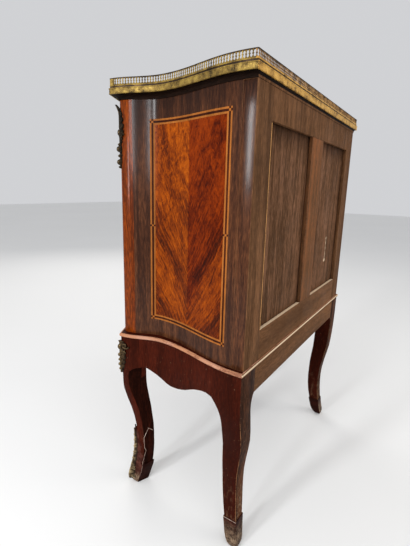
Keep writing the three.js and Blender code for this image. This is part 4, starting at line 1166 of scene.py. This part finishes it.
def meets_apron(node, way):
    """Whether a place is at the end of a leg's ear, where an apron meets it, or under the ledge."""
    low, high = node_low(node), node_high(node)
    end = high.y if way > 0 else low.y
    inner = min(abs(low.x), abs(high.x))
    return lambda place: (
        abs(place.y - end) < 1 or abs(abs(place.x) - inner) < 1 or place.z > high.z - 1
    )


ARRIS_OUT = (1.0, -1.0)
SABOT_RIM = (  # the rim on the inner face and down the arris: across from the arris and height
    (26, 166), (15.6, 178), (1, 154), (0.8, 140), (2.4, 121), (7, 109), (3, 92), (0.8, 74), (0.6, 47),
    (0.6, 20),
)


def build_sabots(shop):
    """The four sabots: plain shells with a rubbed rim behind, leaves up the arris in front."""
    for hand, side in (("right", 1), ("left", -1)):
        rear, front = f"sabot_rear_{hand}", f"sabot_front_{hand}"
        rim_low = node_high(rear).z - 1.6

        def sabot_finish(normal, place):
            out = normal.x * side
            # inward faces take the painted shade
            if out < -0.5:
                return 2
            return 1 if place.z > rim_low and out > 0.5 else 0

        dress_node(rear, [shop.sabot, shop.rim, shop.sabot_inside, shop.sabot], 0.3, angle=60,
                   choose=sabot_finish, cuts=[(Z, rim_low)], crease=45)
        dress_node(front, [shop.front_sabot, shop.sabot_inside, shop.front_sabot], 0.3, angle=60,
                   choose=faces_inwards, crease=45)
    tree = search_tree("leg_front_right", "sabot_front_right")
    casting = Casting(tree, arris_line("leg_front_right", ARRIS_OUT), ARRIS_OUT)
    casting.leaf(14, 178, 7, 7, 3.4, sweep=0.7, rows=110, columns=12)
    casting.leaf(6, 64, 12, 4, 4.2, sweep=0.5)
    for side in (-1, 1):
        casting.scroll(side * 8, 18, 6, math.pi / 2, -side, 1.5, 1.2)
        casting.scroll(side * 7, 44, 5, math.pi / 2, side, 1.3, 1.2)
    casting.boss(0, 13, 5, 7, 4.5, 6)
    for level in (78, 98, 118, 138, 156):
        casting.boss(0, level, 2.8 - level / 130, 4.5, 5.2, 3)
    casting.pair("sabot_leaf", shop.foot_bronze)
    for part, way in (("side", 1), ("front", -1)):
        outward = (way, way)
        rim = Casting(tree, arris_line("leg_front_right", outward), outward)
        spots = []
        for (a, z), (b, w) in zip(SABOT_RIM, SABOT_RIM[1:]):
            spots += [(way * (a + (b - a) * t), z + (w - z) * t, 0.1) for t in steps(0, 1, 5)[:-1]]
        rim.rod(spots, [0.8 - 0.5 * share ** 2 for share in steps(0, 1, len(spots) - 1)], 1.0, 6)
        rim.pair(f"sabot_{part}_rim", shop.rim)


def build_knee_mounts(shop):
    """Leaf and scroll mounts on the front knees."""
    low, high = node_low("knee_mount_right").z, node_high("knee_mount_right").z
    arris = arris_line("leg_front_right", ARRIS_OUT)
    casting = Casting(search_tree("leg_front_right"), arris, ARRIS_OUT, 0.8)
    casting.leaf(high - 22, low + 2, 10, 5, 5.0, sweep=0.4, rows=80)
    casting.leaf(high - 26, high - 1, 12, 3, 5.0, sweep=0.5, curl=3.0)
    for side in (-1, 1):
        turn = math.pi * (0.5 - 0.5 * side)
        casting.scroll(side * 10, high - 14, 7.5, turn, -side, 2.3, 2.2)
        casting.scroll(side * 6, high - 34, 5, turn, side, 1.7, 2.0)
        stem = ((9, 24, 2), (8, 42, 2.4), (4, 60, 2.4), (0, 76, 2))
        casting.rod([(side * a, high - down, out) for a, down, out in stem], [1.0, 1.6, 1.4, 0.8])
    casting.boss(0, high - 18, 6, 9, 9.5)
    for down, size in ((40, 4.4), (54, 3.6), (67, 4.2), (80, 3.2)):
        casting.boss(0, high - down, size, size * 1.5, size + 5, 6)
    casting.pair("knee_leaf", shop.bronze, node="knee_mount")


def build_corner_mounts(shop):
    """Leaf mounts with a drop of husks on the front posts."""
    low, high = node_low("corner_mount_right").z, node_high("corner_mount_right").z
    cant = Vector((CASE.nose_y - CASE.cant_y, CASE.cant - CASE.nose)).normalized()
    nose = [(CASE.nose, CASE.nose_y, low)]
    casting = Casting(search_tree("front_post_right"), nose, cant + Vector((1, 0)), 0.6)
    casting.leaf(high - 72, high - 1, 12, 5, 4.2, sweep=0.5, curl=8, rows=90)
    casting.leaf(high - 58, high - 90, 9, 4, 4.0, sweep=0.45)
    casting.leaf(high - 84, low + 3, 5.5, 6, 3.6, sweep=0.6, rows=90)
    for side in (-1, 1):
        turn = math.pi * (0.5 - 0.5 * side)
        casting.scroll(side * 8, high - 66, 6, turn, side, 1.8, 2)
        casting.scroll(side * 6, high - 46, 4.5, turn, -side, 1.5, 2)
    casting.boss(0, high - 60, 5, 9, 8)
    for down, size in ((86, 3.6), (96, 7.0), (111, 3.8), (125, 6.6), (136, 3.0)):
        casting.boss(0, high - down, size * 0.8, size * 1.25, size + 4, 6)
    casting.pair("corner_leaf", shop.corner_bronze, node="corner_mount")


def build_boards(shop):
    """The boards inside the case."""
    for node in ("bottom_board", "dust_board_lower", "dust_board_upper", "carcass_top_board"):
        dress_node(node, [shop.carcass, shop.post, shop.edge], 0.4,
                   choose=lambda normal, place: int(normal.y < -0.7))


def build_drawer(shop, number):
    """One drawer: veneered front, sides, back and bottom."""
    name = f"drawer_{number}"
    front = f"{name}_front"
    low, high = node_low(front), node_high(front)
    beside, above = 16, 14  # from the edges of the front to its banding
    xs, zs = (low.x + beside, high.x - beside), (low.z + above, high.z - above)
    points, faces, marks = inlaid_board(
        merged_lines([*band_lines(*xs), 0.0], low.x, high.x, 12),
        merged_lines(band_lines(*zs), low.z, high.z, 80),
        lambda x, z: Vector((x, front_y(CASE, x), z)),
        lambda x, z: Vector((x, high.y, z)),
        lambda x, z: banded(x, z, xs, zs), 4,
    )
    finishes = [shop.post, shop.front_flame[number - 1], shop.light_string, shop.dark_string, shop.oak_level]
    make_piece(f"{name}_veneered_front", points, faces, finishes, name, "marquetry", (front,), marks)
    for part, finish, edge in (("side_right", shop.oak, 0.7), ("side_left", shop.oak, 0.7),
                               ("back", shop.oak_level, 0.7), ("bottom", shop.oak_level, 0.3)):
        dress_node(f"{name}_{part}", [finish, finish], edge)


HANDLE_X = 158.0  # from the middle of the drawer
HANDLE_SPAN = 44.0  # from the handle's middle to each of its fixings
HANDLE_OUT = 21.0  # how far the bail stands out


def bump(t, place, wide):
    """A soft swelling of a bar at a place and, mirrored, on its other half."""
    return math.exp(-((abs(t) - place) / wide) ** 2)


def build_handle(shop, number):
    """Cast handles: two leaf bosses and a swelling bail with a knop in its middle."""
    name = f"drawer_{number}"
    node = f"{name}_handle_right"
    level, high = node_low(node).z + 15, node_high(node).z
    casting = Casting(search_tree(f"{name}_front"), [(HANDLE_X, CASE.cant_y, level)], (0.0, -1.0))
    for side in (-1, 1):
        a = side * HANDLE_SPAN
        casting.leaf(level + 4, high - 1, 9, 3, 3.0, a, 0.5, columns=12, rows=40)
        casting.leaf(level + 6, level - 15, 9, 3, 3.0, a, 0.5, columns=12, rows=40)
        casting.scroll(a - side * 11, level + 12, 5, math.pi * (0.5 - 0.5 * side), -side, 1.4)
        casting.scroll(a + side * 10, level + 2, 5, math.pi * (0.5 + 0.5 * side), side, 1.4)
        casting.boss(a, level + 5, 8, 8, 7, 8)
        casting.rod([(a, level + 5, 2), (a, level + 5, 10), (a, level + 4, 14), (a - side, level + 3, 17)],
                    [4.2, 3.6, 4.4, 3.2])
    spots, sizes = [], []
    for t in steps(-1, 1, 40):
        bend = math.cos(math.pi / 2 * abs(t)) ** 0.55
        spots.append((HANDLE_SPAN * t, level + 4 - 19 * bend, HANDLE_OUT - 4 * (1 - bend)))
        knop = 1.9 * bump(t, 0, 0.06) + 0.9 * bump(t, 0.14, 0.03)
        sizes.append(2.3 + knop + 1.3 * bump(t, 0.42, 0.16) + 0.9 * bump(t, 0.78, 0.03))
    casting.rod(spots, sizes, sides=12)
    casting.pair(f"{name}_cast_handle", shop.bronze, name, f"{name}_handle")


def build_key_plate(shop, number):
    """The keyhole plate with its border of scrolls and leaves."""
    name = f"drawer_{number}"
    node = f"{name}_escutcheon"
    dress_node(node, [shop.bronze, shop.bronze], 0.4)
    middle = (node_low(node).z + node_high(node).z) / 2
    casting = Casting(search_tree(f"{name}_front", node), [(0.0, CASE.cant_y, middle)], (0.0, -1.0))
    casting.leaf(middle + 11, middle + 25, 9, 3, 2.4, curl=1.0, rows=36, columns=12)
    casting.leaf(middle - 12, middle - 25, 8, 3, 2.4, rows=36, columns=12)
    for side in (-1, 1):
        turn = math.pi * (0.5 - 0.5 * side)
        casting.scroll(side * 11, middle + 13, 5, turn, -side, 1.4)
        casting.scroll(side * 10, middle - 13, 5, turn, side, 1.4)
        border = ((15, 9, 0.5), (13.5, 0, 0.9), (14.5, -9, 0.5))
        casting.rod([(side * a, middle + up, out) for a, up, out in border], [0.8, 1.7, 0.8])
    casting.piece(f"{name}_key_border", shop.bronze, name)


# Stage

LIGHTS = (  # name, place, width and height, power and colour; narrow ones shine level
    ("side_window", (2.92, 0.02, 1.4), (0.24, 0.9), 20.0, (0.92, 0.96, 1.0)),
    ("front_window", (2.85, -0.58, 1.35), (0.3, 0.9), 42.0, (0.96, 0.98, 1.0)),
    ("ceiling", (1.4, 0.8, 3.2), (2.4, 2.4), 26.0, (1.0, 0.98, 0.95)),
    ("fill", (-0.9, 2.9, 1.9), (2.0, 2.0), 28.5, (1.0, 0.97, 0.93)),
    ("front_fill", (-1.8, -2.6, 2.2), (2.0, 2.0), 24.0, (1.0, 0.97, 0.93)),
)
AIM_HEIGHT = 0.55  # where the wide ones look
CAMERA_PLACE = (0.9951, 0.5126, 0.8318)
CAMERA_TURN = (122.85, 12.86, 1.43)  # degrees from +Y towards -X, downwards and tilted
FOCAL_SHARE = 375.3 / 546  # focal length as a share of the picture's height
SENSOR = 36


def build_stage():
    """A pale floor, soft lights and the camera at the photograph's place."""
    scene = bpy.context.scene
    scene.view_settings.view_transform = "Standard"
    half = 14.0
    mesh = bpy.data.meshes.new("floor")
    corners = [(half * x, half * y, 0) for x, y in ((-1, -1), (1, -1), (1, 1), (-1, 1))]
    mesh.from_pydata(corners, [], [(0, 1, 2, 3)])
    f = Finish("pale_floor")
    cloud = f.cloud(0.8, detail=2)
    mesh.materials.append(f.finish(f.blend(cloud, (0.80, 0.80, 0.79), (0.84, 0.84, 0.83)), 0.75, shine=0.2))
    floor = bpy.data.objects.new("floor", mesh)
    scene.collection.objects.link(floor)

    world = bpy.data.worlds.new("studio")
    world.use_nodes = True
    glow = world.node_tree.nodes["Background"].inputs
    glow[0].default_value = (0.96, 0.97, 1.0, 1)
    glow[1].default_value = 0.66
    scene.world = world

    for name, place, size, power, colour in LIGHTS:
        lamp = bpy.data.lights.new(name, "AREA")
        lamp.shape = "RECTANGLE"
        lamp.size, lamp.size_y = size
        lamp.energy = power
        lamp.color = colour
        piece = bpy.data.objects.new(name, lamp)
        piece.location = place
        aim = Vector((0, 0, place[2] if size[0] < 1 else AIM_HEIGHT)) - Vector(place)
        piece.rotation_euler = aim.to_track_quat("-Z", "Y").to_euler()
        scene.collection.objects.link(piece)

    yaw, pitch, roll = [math.radians(a) for a in CAMERA_TURN]
    ahead = Vector((-math.sin(yaw) * math.cos(pitch), math.cos(yaw) * math.cos(pitch), -math.sin(pitch)))
    right = ahead.cross(Z).normalized()
    over = right.cross(ahead)
    turned_right = right * math.cos(roll) + over * math.sin(roll)
    turned_over = over * math.cos(roll) - right * math.sin(roll)
    data = bpy.data.cameras.new("camera")
    data.sensor_width = SENSOR
    data.lens = FOCAL_SHARE * SENSOR
    camera = bpy.data.objects.new("camera", data)
    turn = Matrix((turned_right, turned_over, -ahead)).transposed().to_4x4()
    camera.matrix_world = Matrix.Translation(CAMERA_PLACE) @ turn
    scene.collection.objects.link(camera)
    scene.camera = camera


# The add-on

class ChestSizes(bpy.types.PropertyGroup):
    """Sizes of the fine work."""

    pitch: FloatProperty(
        name="Baluster spacing", description="Distance between the gallery's balusters",
        default=0.0065, min=0.004, max=0.02, subtype="DISTANCE", unit="LENGTH",
    )


class ChestColours(bpy.types.PropertyGroup):
    """Colours of the woods and metals."""

    stain: FloatVectorProperty(
        name="Stain", description="Dark polish of the stiles",
        default=paint(66, 36, 21), subtype="COLOR", min=0, max=1,
    )
    leg: FloatVectorProperty(
        name="Leg polish", description="Lighter tone of the red-brown legs and aprons",
        default=paint(76, 26, 12), subtype="COLOR", min=0, max=1,
    )
    post: FloatVectorProperty(
        name="Post veneer", description="Lighter tone of the red veneer on the front posts",
        default=paint(158, 70, 14), subtype="COLOR", min=0, max=1,
    )
    string: FloatVectorProperty(
        name="Light string", description="Light wood of the inlaid banding",
        default=paint(168, 100, 44), subtype="COLOR", min=0, max=1,
    )
    back: FloatVectorProperty(
        name="Back boards", description="Lighter tone of the bare back boards",
        default=paint(132, 92, 62), subtype="COLOR", min=0, max=1,
    )
    brass: FloatVectorProperty(
        name="Brass", description="Clean brass of the band and gallery",
        default=paint(164, 137, 66), subtype="COLOR", min=0, max=1,
    )
    bronze: FloatVectorProperty(
        name="Bronze", description="Rubbed bronze of the cast mounts",
        default=paint(92, 75, 50), subtype="COLOR", min=0, max=1,
    )


workshop = {}


def shop_of(context):
    """The finishes, made at the first call."""
    if "finishes" not in workshop:
        workshop["finishes"] = Workshop(context.scene.chest_colours)
    return workshop["finishes"]


class CHEST_OT_case(bpy.types.Operator):
    """Builds the posts and the inlaid side panels"""

    bl_idname = "chest.case"
    bl_label = "Case"

    def execute(self, context):
        build_case(shop_of(context))
        return {"FINISHED"}


class CHEST_OT_top(bpy.types.Operator):
    """Builds the top, its cove and the brass band"""

    bl_idname = "chest.top"
    bl_label = "Top"

    def execute(self, context):
        build_top(shop_of(context))
        return {"FINISHED"}


class CHEST_OT_gallery(bpy.types.Operator):
    """Builds the pierced brass gallery"""

    bl_idname = "chest.gallery"
    bl_label = "Gallery"

    def execute(self, context):
        build_gallery(shop_of(context), context.scene.chest_sizes.pitch * METRE)
        return {"FINISHED"}


class CHEST_OT_back(bpy.types.Operator):
    """Builds the framed back"""

    bl_idname = "chest.back"
    bl_label = "Back"

    def execute(self, context):
        build_back(shop_of(context))
        return {"FINISHED"}


class CHEST_OT_base(bpy.types.Operator):
    """Builds the ledge, aprons and legs"""

    bl_idname = "chest.base"
    bl_label = "Base"

    def execute(self, context):
        build_base(shop_of(context))
        return {"FINISHED"}


class CHEST_OT_sabots(bpy.types.Operator):
    """Builds the sabots"""

    bl_idname = "chest.sabots"
    bl_label = "Sabots"

    def execute(self, context):
        build_sabots(shop_of(context))
        return {"FINISHED"}


class CHEST_OT_knee_mounts(bpy.types.Operator):
    """Builds the mounts on the knees"""

    bl_idname = "chest.knee_mounts"
    bl_label = "Knee mounts"

    def execute(self, context):
        build_knee_mounts(shop_of(context))
        return {"FINISHED"}


class CHEST_OT_corner_mounts(bpy.types.Operator):
    """Builds the mounts on the front posts"""

    bl_idname = "chest.corner_mounts"
    bl_label = "Corner mounts"

    def execute(self, context):
        build_corner_mounts(shop_of(context))
        return {"FINISHED"}


class CHEST_OT_boards(bpy.types.Operator):
    """Builds the boards inside the case"""

    bl_idname = "chest.boards"
    bl_label = "Inner boards"

    def execute(self, context):
        build_boards(shop_of(context))
        return {"FINISHED"}


class CHEST_OT_drawers(bpy.types.Operator):
    """Builds the three drawers"""

    bl_idname = "chest.drawers"
    bl_label = "Drawers"

    def execute(self, context):
        for number in (1, 2, 3):
            build_drawer(shop_of(context), number)
        return {"FINISHED"}


class CHEST_OT_handles(bpy.types.Operator):
    """Builds the handles and keyhole plates"""

    bl_idname = "chest.handles"
    bl_label = "Handles"

    def execute(self, context):
        for number in (1, 2, 3):
            build_handle(shop_of(context), number)
            build_key_plate(shop_of(context), number)
        return {"FINISHED"}


class CHEST_OT_stage(bpy.types.Operator):
    """Builds the floor, the lights and the camera"""

    bl_idname = "chest.stage"
    bl_label = "Stage"

    def execute(self, context):
        build_stage()
        return {"FINISHED"}


OPERATORS = (
    CHEST_OT_case, CHEST_OT_top, CHEST_OT_gallery, CHEST_OT_back, CHEST_OT_base, CHEST_OT_sabots,
    CHEST_OT_knee_mounts, CHEST_OT_corner_mounts, CHEST_OT_boards, CHEST_OT_drawers, CHEST_OT_handles,
    CHEST_OT_stage,
)


class VIEW3D_PT_chest(bpy.types.Panel):
    """Lists the sizes, colours and building steps"""

    bl_label = "Chest of Drawers"
    bl_space_type = "VIEW_3D"
    bl_region_type = "UI"
    bl_category = "Chest"

    def draw(self, context):
        for group in (context.scene.chest_sizes, context.scene.chest_colours):
            for name in group.bl_rna.properties.keys():
                if name not in ("rna_type", "name"):
                    self.layout.prop(group, name)
        for operator in OPERATORS:
            self.layout.operator(operator.bl_idname)


CLASSES = (ChestSizes, ChestColours, *OPERATORS, VIEW3D_PT_chest)


def register():
    for cls in CLASSES:
        bpy.utils.register_class(cls)
    bpy.types.Scene.chest_sizes = PointerProperty(type=ChestSizes)
    bpy.types.Scene.chest_colours = PointerProperty(type=ChestColours)


def unregister():
    del bpy.types.Scene.chest_colours
    del bpy.types.Scene.chest_sizes
    for cls in reversed(CLASSES):
        bpy.utils.unregister_class(cls)


def main():
    register()
    bpy.ops.chest.case()
    bpy.ops.chest.top()
    bpy.ops.chest.gallery()
    bpy.ops.chest.back()
    bpy.ops.chest.base()
    bpy.ops.chest.sabots()
    bpy.ops.chest.knee_mounts()
    bpy.ops.chest.corner_mounts()
    bpy.ops.chest.boards()
    bpy.ops.chest.drawers()
    bpy.ops.chest.handles()
    bpy.ops.chest.stage()


if __name__ == "__main__":
    main()
